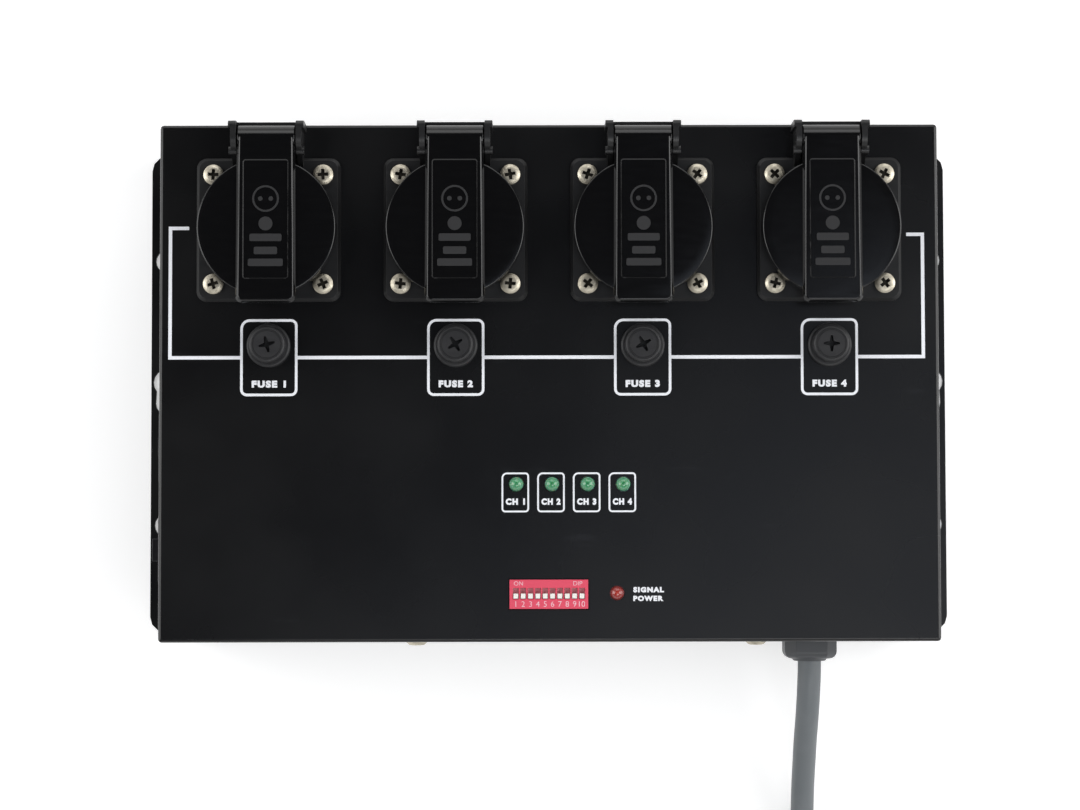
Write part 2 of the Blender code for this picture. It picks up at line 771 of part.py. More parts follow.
def make_fuse_holders(plastic):
    """Panel fuse holders: ring, body, nut and a bore for the cap's stem and the fuse."""
    ring_top = GAP + HOLDER_RING_HEIGHT
    nut_top = -COVER_SHEET - GAP
    nut_low = nut_top - HOLDER_NUT_HEIGHT
    stem_bore = CAP_STEM_RADIUS + FUSE_CLEARANCE
    stem_floor = cap_seat() - CAP_STEM_LENGTH - GAP
    fuse_bore = FUSE_RADIUS + FUSE_CLEARANCE
    fuse_floor = fuse_top() - FUSE_LENGTH - GAP
    bottom = fuse_floor - HOLDER_FLOOR
    chamfer = HOLDER_RING_HEIGHT / 3
    profile = (
        (HOLDER_RING_RADIUS - chamfer, ring_top),
        (HOLDER_RING_RADIUS, ring_top - chamfer),
        (HOLDER_RING_RADIUS, GAP),
        (HOLDER_RADIUS, GAP),
        (HOLDER_RADIUS, nut_top),
        (HOLDER_NUT_RADIUS, nut_top),
        (HOLDER_NUT_RADIUS, nut_low),
        (HOLDER_RADIUS, nut_low),
        (HOLDER_RADIUS, bottom),
        (0, bottom),
        (0, fuse_floor),
        (fuse_bore, fuse_floor),
        (fuse_bore, stem_floor),
        (stem_bore, stem_floor),
        (stem_bore, ring_top),
    )
    item = node("fuse_holder", turned(profile), plastic)
    repeat_node(item, "fuse_holder", [(x, FUSE_Y, CASE_HEIGHT) for x in socket_places()])


def make_fuse_caps(plastic):
    """Round fuse caps with a cross recess and a stem that grips the fuse."""
    seat = cap_seat()
    top = seat + CAP_HEIGHT
    stem_low = seat - CAP_STEM_LENGTH
    profile = (
        (0, top),
        (CAP_RADIUS - CAP_ROUND, top),
        (CAP_RADIUS, top - CAP_ROUND),
        (CAP_RADIUS, seat),
        (CAP_STEM_RADIUS, seat),
        (CAP_STEM_RADIUS, stem_low),
        (FUSE_RADIUS + FUSE_CLEARANCE, stem_low),
        (FUSE_RADIUS + FUSE_CLEARANCE, stem_low + CAP_GRIP_DEPTH),
        (0, stem_low + CAP_GRIP_DEPTH),
    )
    cross = merged(
        block(CROSS_LENGTH, CROSS_WIDTH, top - CROSS_DEPTH, top + GAP),
        block(CROSS_WIDTH, CROSS_LENGTH, top - CROSS_DEPTH, top + GAP),
    )
    item = node("fuse_cap", turned(profile), plastic, cut=[cross])
    caps = repeat_node(item, "fuse_cap", [(x, FUSE_Y, CASE_HEIGHT) for x in socket_places()])
    for number, cap in enumerate(caps, start=1):
        put_on_axis(cap, f"fuse_axis_{number}", tuple(cap.location))


def make_fuse_links(glass):
    """Glass fuses, 5 by 20 mm, held in the caps."""
    item = node("fuse_link", rod(FUSE_RADIUS, fuse_top() - FUSE_LENGTH, fuse_top(), SMALL_SEGMENTS), glass)
    repeat_node(item, "fuse_link", [(x, FUSE_Y, CASE_HEIGHT) for x in socket_places()])


def lamp(name, material):
    """Round-topped lamp whose foot stands on the control board."""
    foot_low = -CONTROL_BOARD_DEPTH + GAP
    foot_top = -COVER_SHEET - GAP
    dome_start = LED_RISE - LED_RADIUS
    profile = [(0, LED_RISE)]
    for angle in (60, 30, 0):
        turn = math.radians(angle)
        profile.append((LED_RADIUS * math.cos(turn), dome_start + LED_RADIUS * math.sin(turn)))
    profile += [(LED_RADIUS, foot_top), (LED_FOOT_RADIUS, foot_top)]
    profile += [(LED_FOOT_RADIUS, foot_low), (0, foot_low)]
    return node(name, turned(profile, SMALL_SEGMENTS), material)


def make_lamps(green, red):
    """Four green channel lamps and the red signal lamp."""
    item = lamp("channel_led", green)
    repeat_node(item, "channel_led", [(x, LED_Y, CASE_HEIGHT) for x in channel_led_places()])
    lamp("signal_led", red).location = (SIGNAL_LED_X, SIGNAL_LED_Y, CASE_HEIGHT)


def lever_places():
    """Return the middle of each DIP lever in its OFF place."""
    middle = (LEVER_COUNT - 1) / 2
    y = DIP_Y + LEVER_OFFSET
    z = CASE_HEIGHT + DIP_RISE
    return [(DIP_X + (index - middle) * LEVER_PITCH, y, z) for index in range(LEVER_COUNT)]


def make_dip_switch(red, white):
    """DIP switch body with a slot for each lever, and its slide levers."""
    low = -CONTROL_BOARD_DEPTH + GAP
    body = block(DIP_LENGTH, DIP_WIDTH, low, DIP_RISE)
    slot_length = LEVER_LENGTH + LEVER_TRAVEL + 2 * SLIDE_CLEARANCE
    slot_width = LEVER_WIDTH + 2 * SLIDE_CLEARANCE
    slot_y = LEVER_OFFSET + LEVER_TRAVEL / 2
    cut = []
    for x, _, _ in lever_places():
        cut.append(block(slot_width, slot_length, DIP_RISE - SLOT_DEPTH, DIP_RISE + GAP, x - DIP_X, slot_y))
    node("dip_body", body, red, location=(DIP_X, DIP_Y, CASE_HEIGHT), cut=cut, smooth=False)
    lever = block(LEVER_WIDTH, LEVER_LENGTH, -SLOT_DEPTH + SLIDE_CLEARANCE, LEVER_RISE)
    item = node("dip_lever", lever, white, smooth=False)
    repeat_node(item, "dip_lever", lever_places())


def make_control_board(laminate):
    """Circuit board behind the panel, with the posts that hold it off the panel."""
    board = block(CONTROL_BOARD_LENGTH, CONTROL_BOARD_WIDTH, -BOARD_SHEET, 0)
    post_top = CONTROL_BOARD_DEPTH - COVER_SHEET - GAP
    posts = [
        rod(STANDOFF_RADIUS, -BOARD_SHEET / 2, post_top, SMALL_SEGMENTS, x, y)
        for x, y in board_corner_places(CONTROL_BOARD_LENGTH, CONTROL_BOARD_WIDTH)
    ]
    place = (CONTROL_BOARD_X, CONTROL_BOARD_Y, CASE_HEIGHT - CONTROL_BOARD_DEPTH)
    node("control_board", board, laminate, location=place, add=posts)


def relay_board_top():
    """Return the height of the relay board's upper face."""
    return BASE_SHEET + RELAY_BOARD_RISE + GAP + BOARD_SHEET


def make_relay_board(laminate):
    """Circuit board on the base, with the mains terminal block."""
    board = block(RELAY_BOARD_LENGTH, RELAY_BOARD_WIDTH, -BOARD_SHEET, 0)
    terminals = block(
        TERMINAL_LENGTH, TERMINAL_WIDTH, -BOARD_SHEET / 2, TERMINAL_HEIGHT, y=TERMINAL_OFFSET
    )
    place = (0, RELAY_BOARD_Y, relay_board_top())
    node("relay_board", board, laminate, location=place, add=[terminals], smooth=False)


def make_relays(plastic):
    """One relay for each channel."""
    body = block(RELAY_LENGTH, RELAY_WIDTH, 0, RELAY_HEIGHT)

    def is_top(first, second):
        return first.z > RELAY_HEIGHT / 2 and second.z > RELAY_HEIGHT / 2

    item = node("relay", bevelled(body, RELAY_ROUND, 1, is_top), plastic, smooth=False)
    middle = (SOCKET_COUNT - 1) / 2
    z = relay_board_top() + GAP
    y = RELAY_BOARD_Y + RELAY_OFFSET
    places = [((index - middle) * RELAY_PITCH, y, z) for index in range(SOCKET_COUNT)]
    repeat_node(item, "relay", places)


def make_transformer(core):
    """Small transformer on a sheet foot: laminated core around a wound bobbin."""
    stack = block(CORE_LENGTH, CORE_WIDTH, FOOT_SHEET / 2, CORE_HEIGHT)
    middle = CORE_HEIGHT / 2
    bobbin = block(BOBBIN_LENGTH, BOBBIN_WIDTH, middle - BOBBIN_HEIGHT / 2, middle + BOBBIN_HEIGHT / 2)
    foot = block(FOOT_LENGTH, CORE_WIDTH, 0, FOOT_SHEET)
    place = (TRANSFORMER_X, TRANSFORMER_Y, BASE_SHEET + GAP)
    node("transformer", stack, core, location=place, add=[bobbin, foot], smooth=False)


def contact_places():
    """Return where a connector's three contacts stand around its axis."""
    places = []
    for angle in (45, -45, 180):
        turn = math.radians(angle)
        places.append((CONTACT_CIRCLE * math.cos(turn), CONTACT_CIRCLE * math.sin(turn)))
    return places


def connector_flange():
    """Return a connector's mounting flange, outside the wall."""
    outline = rounded_rectangle(CONNECTOR_FLANGE_HEIGHT, CONNECTOR_FLANGE_WIDTH, CONNECTOR_CORNER)
    return prism(outline, GAP, GAP + CONNECTOR_FLANGE_THICKNESS)


def connector_body():
    """Return a connector's round body, through the wall."""
    top = GAP + CONNECTOR_FLANGE_THICKNESS / 2
    return rod(CONNECTOR_BODY_RADIUS, -CONNECTOR_BODY_DEPTH, top, WIDE_SEGMENTS)


def make_input_connector(black):
    """Three-pole male connector: an open round cavity with three pins."""
    face = GAP + CONNECTOR_FLANGE_THICKNESS
    floor = face - CONNECTOR_CAVITY_DEPTH
    item = node("dmx_input", connector_flange(), black, add=[connector_body()])
    apply_boolean(item, [rod(CONNECTOR_CAVITY_RADIUS, floor, face + GAP, WIDE_SEGMENTS)], "DIFFERENCE")
    for x, y in contact_places():
        pin = rod(CONTACT_RADIUS, floor - GAP, face - CONTACT_SETBACK, 8, x, y)
        apply_boolean(item, [pin], "UNION")
    shade(item)
    item.matrix_world = connector_frame(connector_places()[0])


def make_output_connector(black):
    """Three-pole female connector: an insert with three holes in a ring gap, and the latch's slot."""
    face = GAP + CONNECTOR_FLANGE_THICKNESS
    floor = face - CONNECTOR_CAVITY_DEPTH
    width, thickness, depth = latch_housing_size()
    housing = block(thickness, width, -depth, GAP + CONNECTOR_FLANGE_THICKNESS / 2, x=LATCH_OFFSET)
    ring = turned(
        (
            (CONNECTOR_CAVITY_RADIUS, face + GAP),
            (CONNECTOR_CAVITY_RADIUS, floor),
            (INSERT_RADIUS, floor),
            (INSERT_RADIUS, face + GAP),
        ),
        WIDE_SEGMENTS,
    )
    slot = block(
        LATCH_THICKNESS + 2 * SLIDE_CLEARANCE,
        LATCH_WIDTH + 2 * SLIDE_CLEARANCE,
        LATCH_HOUSING_WALL - depth,
        face + GAP,
        x=LATCH_OFFSET,
    )
    cut = [ring, slot]
    cut += [rod(CONTACT_HOLE_RADIUS, floor, face + GAP, 8, -x, y) for x, y in contact_places()]
    item = node("dmx_output", connector_flange(), black, add=[connector_body(), housing], cut=cut)
    item.matrix_world = connector_frame(connector_places()[1])


def make_latch(plastic):
    """Push latch of the output connector."""
    face = GAP + CONNECTOR_FLANGE_THICKNESS
    low = face + LATCH_RISE - LATCH_LENGTH
    body = block(LATCH_THICKNESS, LATCH_WIDTH, low, face + LATCH_RISE, x=LATCH_OFFSET)
    item = node("dmx_latch", body, plastic, smooth=False)
    item.matrix_world = connector_frame(connector_places()[1])


def bushing_face():
    """Return how far the strain relief stands out of the lower wall."""
    return GAP + BUSHING_HEAD + BUSHING_NOSE


def chamfered_square(size, chamfer):
    """Return a square outline with cut corners."""
    half = size / 2
    flat = half - chamfer
    return [
        (half, -flat),
        (half, flat),
        (flat, half),
        (-flat, half),
        (-half, flat),
        (-half, -flat),
        (-flat, -half),
        (flat, -half),
    ]


def make_bushing(plastic):
    """Strain relief: square head with cut corners, tapered nose, neck and snap-in tail."""
    head = prism(chamfered_square(BUSHING_SIZE, BUSHING_CHAMFER), GAP, GAP + BUSHING_HEAD)
    edge = BUSHING_CHAMFER / 3

    def is_outer_rim(first, second):
        return first.z > BUSHING_HEAD and second.z > BUSHING_HEAD

    bevelled(head, edge, 2, is_outer_rim)
    tail_top = -COVER_SHEET - GAP
    profile = (
        (0, bushing_face()),
        (BUSHING_NOSE_TIP_RADIUS, bushing_face()),
        (BUSHING_NOSE_RADIUS, GAP + BUSHING_HEAD),
        (BUSHING_NECK_RADIUS, GAP + BUSHING_HEAD / 2),
        (BUSHING_NECK_RADIUS, tail_top),
        (BUSHING_TAIL_RADIUS, tail_top),
        (BUSHING_NECK_RADIUS, tail_top - BUSHING_TAIL),
        (0, tail_top - BUSHING_TAIL),
    )
    bore = rod(CORD_RADIUS + GAP, bushing_face() - CORD_INSERTION - 2 * GAP, bushing_face() + GAP)
    item = node("cord_bushing", head, plastic, add=[turned(profile)], cut=[bore])
    item.matrix_world = wall_frame(BUSHING_X, BUSHING_HEIGHT)


def smooth_route(points, spacing):
    """Return points a fixed distance apart on a smooth curve through the given points."""
    knots = [Vector(point) for point in points]
    dense = [knots[0]]
    for index in range(len(knots) - 1):
        start = knots[index]
        end = knots[index + 1]
        before = knots[max(index - 1, 0)]
        after = knots[min(index + 2, len(knots) - 1)]
        pieces = interpolate_bezier(start, start + (end - before) / 6, end - (after - start) / 6, end, 9)
        dense += pieces[1:]
    length = sum((b - a).length for a, b in zip(dense, dense[1:]))
    count = max(2, round(length / spacing))
    even = [dense[0]]
    travelled = 0.0
    for a, b in zip(dense, dense[1:]):
        step = (b - a).length
        while len(even) < count and travelled + step >= length * len(even) / count:
            share = (length * len(even) / count - travelled) / step
            even.append(a.lerp(b, share))
        travelled += step
    even.append(dense[-1])
    return even


def tube(name, points, radius, material):
    """Return a round tube along points as a bevelled curve."""
    curve = bpy.data.curves.new(name, "CURVE")
    curve.dimensions = "3D"
    curve.bevel_depth = radius
    curve.bevel_resolution = 3
    curve.use_fill_caps = True
    spline = curve.splines.new("POLY")
    spline.points.add(len(points) - 1)
    for target, point in zip(spline.points, points):
        target.co = (*point, 1.0)
    curve.materials.append(material)
    item = bpy.data.objects.new(name, curve)
    bpy.context.collection.objects.link(item)
    return item


def coil_centre_x():
    """Return the coil's middle, which lets the lead run onto the outermost turn."""
    return LEAD_ROUTE[-1][0] - outer_turn_radius()


def outer_turn_radius():
    """Return the radius of the coil's outermost turn."""
    return COIL_RADIUS + (COIL_STRANDS_WIDE - 1) * CORD_RADIUS


def tail_turn_radius():
    """Return the radius of the upper turn that the tail leaves."""
    return COIL_RADIUS + CORD_RADIUS


def plug_entry():
    """Return the point where the tail enters the plug's sleeve."""
    return Vector(
        (coil_centre_x() - TAIL_REACH, COIL_CENTRE_Y - tail_turn_radius(), PLUG_RADIUS + CORD_FLOOR_GAP)
    )


def make_lead(rubber):
    """Mains lead, straight in the strain relief, then down to the surface and along it to the coil."""
    points = [Vector(LEAD_ROUTE[0])] + smooth_route(LEAD_ROUTE[1:], 4 * CORD_RADIUS)
    tube("mains_cord", points, CORD_RADIUS, rubber)


def make_coil(rubber):
    """Outer shape of the coiled lead, with the short tail that runs to the plug."""
    half_width = COIL_STRANDS_WIDE * CORD_RADIUS
    low = CORD_FLOOR_GAP
    high = low + 2 * CORD_RADIUS + COIL_ROW_RISE
    shoulder = CORD_RADIUS
    profile = (
        (COIL_RADIUS + half_width - shoulder, high),
        (COIL_RADIUS + half_width, high - 2 * shoulder),
        (COIL_RADIUS + half_width, low + shoulder / 2),
        (COIL_RADIUS + half_width - shoulder / 2, low),
        (COIL_RADIUS - half_width + shoulder / 2, low),
        (COIL_RADIUS - half_width, low + shoulder / 2),
        (COIL_RADIUS - half_width, high - 2 * shoulder),
        (COIL_RADIUS - half_width + shoulder, high),
    )
    place = (coil_centre_x(), COIL_CENTRE_Y, 0)
    item = node("mains_cord_coil", turned(profile, WIDE_SEGMENTS), rubber, location=place)
    height = CORD_FLOOR_GAP + CORD_RADIUS + COIL_ROW_RISE
    entry = plug_entry() - Vector(place)
    entry.x += GAP
    across = -tail_turn_radius()
    route = (
        (-TAIL_START, across, height),
        (-TAIL_REACH / 2, across, (height + entry.z) / 2),
        (entry.x + TAIL_STRAIGHT, across, entry.z),
        (entry.x, across, entry.z),
    )
    stub = tube("tail_stub", smooth_route(route, 2 * CORD_RADIUS), CORD_RADIUS, rubber)
    graph = bpy.context.evaluated_depsgraph_get()
    shape = bmesh.new()
    stub_mesh = bpy.data.meshes.new_from_object(stub.evaluated_get(graph))
    shape.from_mesh(stub_mesh)
    bpy.data.objects.remove(stub)
    bmesh.ops.remove_doubles(shape, verts=shape.verts, dist=1e-6)
    apply_boolean(item, [turned_out(shape)], "UNION")
    shade(item)


def make_plug(rubber):
    """Moulded mains plug: tapered sleeve, grip, round body and two pins."""
    grip = PLUG_SLEEVE_LENGTH + PLUG_BODY_LENGTH / 3
    front = PLUG_SLEEVE_LENGTH + PLUG_BODY_LENGTH
    profile = (
        (0, front),
        (PLUG_RADIUS - PLUG_EDGE, front),
        (PLUG_RADIUS, front - PLUG_EDGE),
        (PLUG_RADIUS, grip + PLUG_EDGE),
        (PLUG_RADIUS - 2 * PLUG_EDGE, grip - PLUG_EDGE),
        (PLUG_WAIST_RADIUS, PLUG_SLEEVE_LENGTH),
        (PLUG_SLEEVE_RADIUS, 0),
        (0, 0),
    )
    tip = front + PLUG_PIN_LENGTH
    pins = [
        rod(PLUG_PIN_RADIUS, front - PLUG_EDGE, tip, SMALL_SEGMENTS, y=side * PIN_HOLE_OFFSET)
        for side in (-1, 1)
    ]
    item = node("mains_plug", turned(profile), rubber, add=pins)
    item.location = plug_entry()
    item.rotation_euler = (0, -math.pi / 2, 0)


def main():
    """Build every sub-part."""
    clear_scene()
    panel_black = finish("black_powder_coat", (0.012, 0.013, 0.015), 0.55)
    socket_black = finish("black_polyamide", (0.010, 0.010, 0.011), 0.35)
    holder_black = finish("black_phenolic", (0.011, 0.011, 0.012), 0.30)
    nickel = finish("nickel_plated_steel", (0.56, 0.52, 0.44), 0.35, 1.0)
    steel = finish("blackened_steel", (0.02, 0.02, 0.02), 0.40, 1.0)
    glass = finish("fuse_glass", (0.80, 0.83, 0.82), 0.15)
    green = finish("green_epoxy", (0.035, 0.22, 0.09), 0.25)
    red = finish("red_epoxy", (0.40, 0.02, 0.015), 0.25)
    switch_red = finish("red_switch_plastic", (0.69, 0.09, 0.14), 0.45)
    switch_white = finish("white_lever_plastic", (0.85, 0.85, 0.83), 0.45)
    laminate = finish("green_laminate", (0.03, 0.16, 0.07), 0.50)
    relay_blue = finish("blue_relay_case", (0.03, 0.10, 0.32), 0.40)
    core = finish("laminated_core", (0.22, 0.20, 0.17), 0.50, 0.6)
    connector_black = finish("black_connector_metal", (0.02, 0.02, 0.02), 0.40, 0.3)
    latch_grey = finish("latch_metal", (0.45, 0.45, 0.46), 0.35, 1.0)
    bushing_grey = finish("dark_grey_nylon", (0.07, 0.075, 0.08), 0.55)
    cord_grey = finish("grey_cord_sheath", (0.115, 0.125, 0.135), 0.55)
    plug_black = finish("plug_rubber", (0.02, 0.02, 0.022), 0.55)

    make_cover(panel_black)
    make_base_plate(panel_black)
    make_cover_screws(nickel)
    make_sockets(socket_black)
    make_lids(socket_black)
    make_hinge_pins(steel)
    make_fuse_holders(holder_black)
    make_fuse_caps(holder_black)
    make_fuse_links(glass)
    make_lamps(green, red)
    make_dip_switch(switch_red, switch_white)
    make_control_board(laminate)
    make_relay_board(laminate)
    make_relays(relay_blue)
    make_transformer(core)
    make_input_connector(connector_black)
    make_output_connector(connector_black)
    make_latch(latch_grey)
    make_bushing(bushing_grey)
    make_lead(cord_grey)
    make_coil(cord_grey)
    make_plug(plug_black)
    bpy.context.view_layer.update()


main()
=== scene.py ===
import json
import logging
import math
from dataclasses import dataclass
from enum import Enum
from typing import Any, Optional, Sequence

import bmesh
import bpy
from mathutils import Euler, Matrix, Vector
from mathutils.geometry import interpolate_bezier


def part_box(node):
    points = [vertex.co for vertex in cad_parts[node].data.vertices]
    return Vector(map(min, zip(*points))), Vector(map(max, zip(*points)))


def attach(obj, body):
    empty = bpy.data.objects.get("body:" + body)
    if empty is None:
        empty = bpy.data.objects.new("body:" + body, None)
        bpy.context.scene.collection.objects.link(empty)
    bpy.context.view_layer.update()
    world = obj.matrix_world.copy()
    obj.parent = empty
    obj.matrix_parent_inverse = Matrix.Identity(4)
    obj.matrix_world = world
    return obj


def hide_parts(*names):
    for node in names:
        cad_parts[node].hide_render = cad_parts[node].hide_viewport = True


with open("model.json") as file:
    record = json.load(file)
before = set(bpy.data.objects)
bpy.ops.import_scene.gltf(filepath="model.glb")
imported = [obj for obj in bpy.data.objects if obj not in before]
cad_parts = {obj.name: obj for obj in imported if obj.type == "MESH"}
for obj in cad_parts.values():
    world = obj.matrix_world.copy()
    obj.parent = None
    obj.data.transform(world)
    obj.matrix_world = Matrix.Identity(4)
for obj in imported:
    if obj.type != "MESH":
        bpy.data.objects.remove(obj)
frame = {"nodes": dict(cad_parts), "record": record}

LOG = logging.getLogger("switch_pack")
MM = 0.001
CASE = "case"
MATH = "ShaderNodeMath"
SMOOTH_ANGLE = math.radians(35)
# Play between neighbouring parts
PLAY = 0.3 * MM
# Height by which a print sinks into its surface and a flush cutter stands proud
HAIR = 0.01 * MM
# Distance under which two points are one
SAME_POINT = 1e-6
PRINT_THICKNESS = 0.06 * MM
PANEL_TYPE_WEIGHT = 0.07
PANEL_TYPE_SPACING = 1.25

Point = tuple[float, float]
Triple = tuple[float, float, float]
Shape = bmesh.types.BMesh
Box = tuple[Vector, Vector]
Tree = bpy.types.NodeTree
Node = bpy.types.Node
Socket = bpy.types.NodeSocket


def linear(hex_colour: str) -> tuple[float, float, float, float]:
    """Turn an sRGB hex colour into linear red, green, blue and alpha.

    Args:
        hex_colour: Six hexadecimal digits after a hash sign.

    Returns:
        The linear colour, fully opaque.
    """
    channels = []
    for start in (1, 3, 5):
        value = int(hex_colour[start : start + 2], 16) / 255
        channels.append(value / 12.92 if value <= 0.04045 else ((value + 0.055) / 1.055) ** 2.4)
    return (channels[0], channels[1], channels[2], 1.0)


def add_node(tree: Tree, kind: str, inputs: Optional[dict] = None, **settings: Any) -> Node:
    """Add a node to a tree, set its properties and fill its inputs.

    Args:
        tree: Material, world or geometry tree.
        kind: Blender's name of the node type.
        inputs: Input name or index, each with a value, a socket, a node that feeds it from its first
            output, or a list of those.
        settings: Properties of the node itself.

    Returns:
        The new node.
    """
    made = tree.nodes.new(kind)
    for name, value in settings.items():
        setattr(made, name, value)
    for key, value in (inputs or {}).items():
        for source in value if isinstance(value, list) else [value]:
            if isinstance(source, Node):
                source = source.outputs[0]
            if isinstance(source, Socket):
                tree.links.new(source, made.inputs[key])
            else:
                made.inputs[key].default_value = source
    return made


@dataclass(frozen=True)
class Finish:
    """A plain Principled finish, with the record's slot that it stands for."""

    name: str
    colour: str
    roughness: float
    slot: Optional[str] = None
    metallic: float = 0.0
    ior: float = 1.5

    def material(self) -> bpy.types.Material:
        """Return the finish as a material, made the first time it is asked for."""
        known = bpy.data.materials.get(self.name)
        if known:
            return known
        made = bpy.data.materials.new(self.name)
        made.use_nodes = True
        tree = made.node_tree
        shader = tree.nodes["Principled BSDF"]
        shader.inputs["Base Color"].default_value = linear(self.colour)
        shader.inputs["Roughness"].default_value = self.roughness
        shader.inputs["Metallic"].default_value = self.metallic
        shader.inputs["IOR"].default_value = self.ior
        self.detail(tree, shader)
        return made

    def detail(self, tree: Tree, shader: Node) -> None:
        """Add what the surface shows beyond its plain values."""

    def noise(
        self, tree: Tree, size: float, stretch: Sequence[float] = (1, 1, 1), detail: float = 3
    ) -> Socket:
        """Add a noise pattern in object space.

        Args:
            tree: Material tree.
            size: Size of the pattern's features in metres.
            stretch: Scale of the pattern along each axis, more than 1 for narrower features.
            detail: Noise octaves.

        Returns:
            The output socket of the noise.
        """
        place = add_node(tree, "ShaderNodeTexCoord").outputs["Object"]
        turned = add_node(tree, "ShaderNodeMapping", {"Vector": place, "Scale": stretch})
        inputs = {"Vector": turned, "Scale": 1 / size, "Detail": detail}
        return add_node(tree, "ShaderNodeTexNoise", inputs).outputs["Fac"]

    def gloss(self, tree: Tree, shader: Node, pattern: Socket, given: Point, change: Point) -> None:
        """Vary the roughness with a pattern.

        Args:
            tree: Material tree.
            shader: The material's shader.
            pattern: The pattern's output socket.
            given: Low and high value of the pattern.
            change: What the roughness gains at those two values.
        """
        inputs = {"Value": pattern, "From Min": given[0], "From Max": given[1]}
        inputs |= {"To Min": self.roughness + change[0], "To Max": self.roughness + change[1]}
        rough = add_node(tree, "ShaderNodeMapRange", inputs)
        tree.links.new(rough.outputs["Result"], shader.inputs["Roughness"])

    def tint(
        self,
        tree: Tree,
        shader: Node,
        pattern: Socket,
        other: str,
        given: Point = (0.0, 1.0),
        most: float = 1.0,
    ) -> None:
        """Mix a second colour into the base colour where a pattern is high.

        Args:
            tree: Material tree.
            shader: The material's shader.
            pattern: The pattern's output socket.
            other: The second colour.
            given: Values of the pattern where the second colour starts and where it is strongest.
            most: Its share where it is strongest.
        """
        inputs = {"Value": pattern, "From Min": given[0], "From Max": given[1], "To Max": most}
        amount = add_node(tree, "ShaderNodeMapRange", inputs).outputs["Result"]
        inputs = {"Factor": amount, 6: linear(self.colour), 7: linear(other)}
        mix = add_node(tree, "ShaderNodeMix", inputs, data_type="RGBA")
        tree.links.new(mix.outputs[2], shader.inputs["Base Color"])

    def relief(self, tree: Tree, shader: Node, height: Socket, depth: float) -> None:
        """Bump the surface with a pattern whose full range is a depth in metres."""
        bump = add_node(tree, "ShaderNodeBump", {"Height": height, "Distance": depth})
        tree.links.new(bump.outputs["Normal"], shader.inputs["Normal"])


@dataclass(frozen=True)
class PowderCoat(Finish):
    """Baked polyester powder on sheet steel: an even, slightly grainy black with a broad soft sheen."""

    grain: float = 0.55 * MM
    depth: float = 0.014 * MM
    rub: float = 14 * MM
    cloud: float = 60 * MM
    scuff: str = "#242528"

    def detail(self, tree: Tree, shader: Node) -> None:
        """Add the grain, which real powder has at about 0.2 mm, and faint rubbed marks."""
        self.relief(tree, shader, self.noise(tree, self.grain, detail=2), self.depth)
        rubbed = self.noise(tree, self.rub, stretch=(0.6, 3.0, 1.0), detail=6)
        self.tint(tree, shader, rubbed, self.scuff, (0.66, 0.80), 0.35)
        self.gloss(tree, shader, self.noise(tree, self.cloud), (0.3, 0.7), (-0.04, 0.05))


@dataclass(frozen=True)
class Moulding(Finish):
    """Injection-moulded plastic: smooth, with a faint flow texture and fine wipe marks from handling."""

    grain: float = 0.5 * MM
    depth: float = 0.006 * MM
    wipe: float = 9 * MM
    wear: float = 0.06

    def detail(self, tree: Tree, shader: Node) -> None:
        """Add the mould's texture and the wipe marks in the gloss."""
        self.relief(tree, shader, self.noise(tree, self.grain), self.depth)
        wiped = self.noise(tree, self.wipe, stretch=(1.0, 5.0, 1.0), detail=8)
        self.gloss(tree, shader, wiped, (0.35, 0.75), (0.0, self.wear))


@dataclass(frozen=True)
class Plating(Finish):
    """Plated or drawn metal: a bright base with fine tool marks and slightly dull patches."""

    patch: float = 1.6 * MM
    tool_mark: float = 0.35 * MM
    depth: float = 0.01 * MM
    dull: str = "#6f675a"

    def detail(self, tree: Tree, shader: Node) -> None:
        """Add uneven gloss, a little tarnish and the tool marks' relief."""
        cloud = self.noise(tree, self.patch, detail=4)
        self.gloss(tree, shader, cloud, (0.35, 0.7), (-0.06, 0.12))
        self.tint(tree, shader, cloud, self.dull, (0.5, 0.8), 0.55)
        self.relief(tree, shader, self.noise(tree, self.tool_mark), self.depth)


@dataclass(frozen=True)
class ScreenInk(Finish):
    """Screen-printed epoxy ink: opaque, matt and a little uneven where the coat's grain shows through."""

    spot: float = 0.7 * MM
    thin: str = "#d5d8de"

    def detail(self, tree: Tree, shader: Node) -> None:
        """Add the thin spots in the ink film."""
        self.tint(tree, shader, self.noise(tree, self.spot, detail=2), self.thin, (0.5, 0.8), 0.5)


@dataclass(frozen=True)
class DyedEpoxy(Finish):
    """Cast epoxy of a lamp: diffusing resin, with painted shade and highlight across its dome, one colour at
    its axis and another at its rim.
    """

    rim: str = "#7fb596"
    core: str = "#1d5a38"
    middle: float = 0.35

    def detail(self, tree: Tree, shader: Node) -> None:
        """Paint the dome's shade and highlight by each point's distance from the lamp's axis, and let a
        little light through.
        """
        across = add_node(tree, "ShaderNodeAttribute", attribute_name="across").outputs["Fac"]
        ramp = add_node(tree, "ShaderNodeValToRGB", {"Fac": across})
        stops = ramp.color_ramp.elements
        stops[0].color = linear(self.core)
        stops[1].color = linear(self.rim)
        stops.new(self.middle).color = linear(self.colour)
        tree.links.new(ramp.outputs["Color"], shader.inputs["Base Color"])
        shader.inputs["Coat Weight"].default_value = 1.0
        shader.inputs["Coat Roughness"].default_value = 0.04
        shader.inputs["Subsurface Weight"].default_value = 0.3
        shader.inputs["Subsurface Scale"].default_value = 1 * MM


@dataclass(frozen=True)
class Glass(Finish):
    """Drawn glass tube: clear, with a smooth fire-polished surface."""

    def detail(self, tree: Tree, shader: Node) -> None:
        """Let light through the tube."""
        shader.inputs["Transmission Weight"].default_value = 1.0


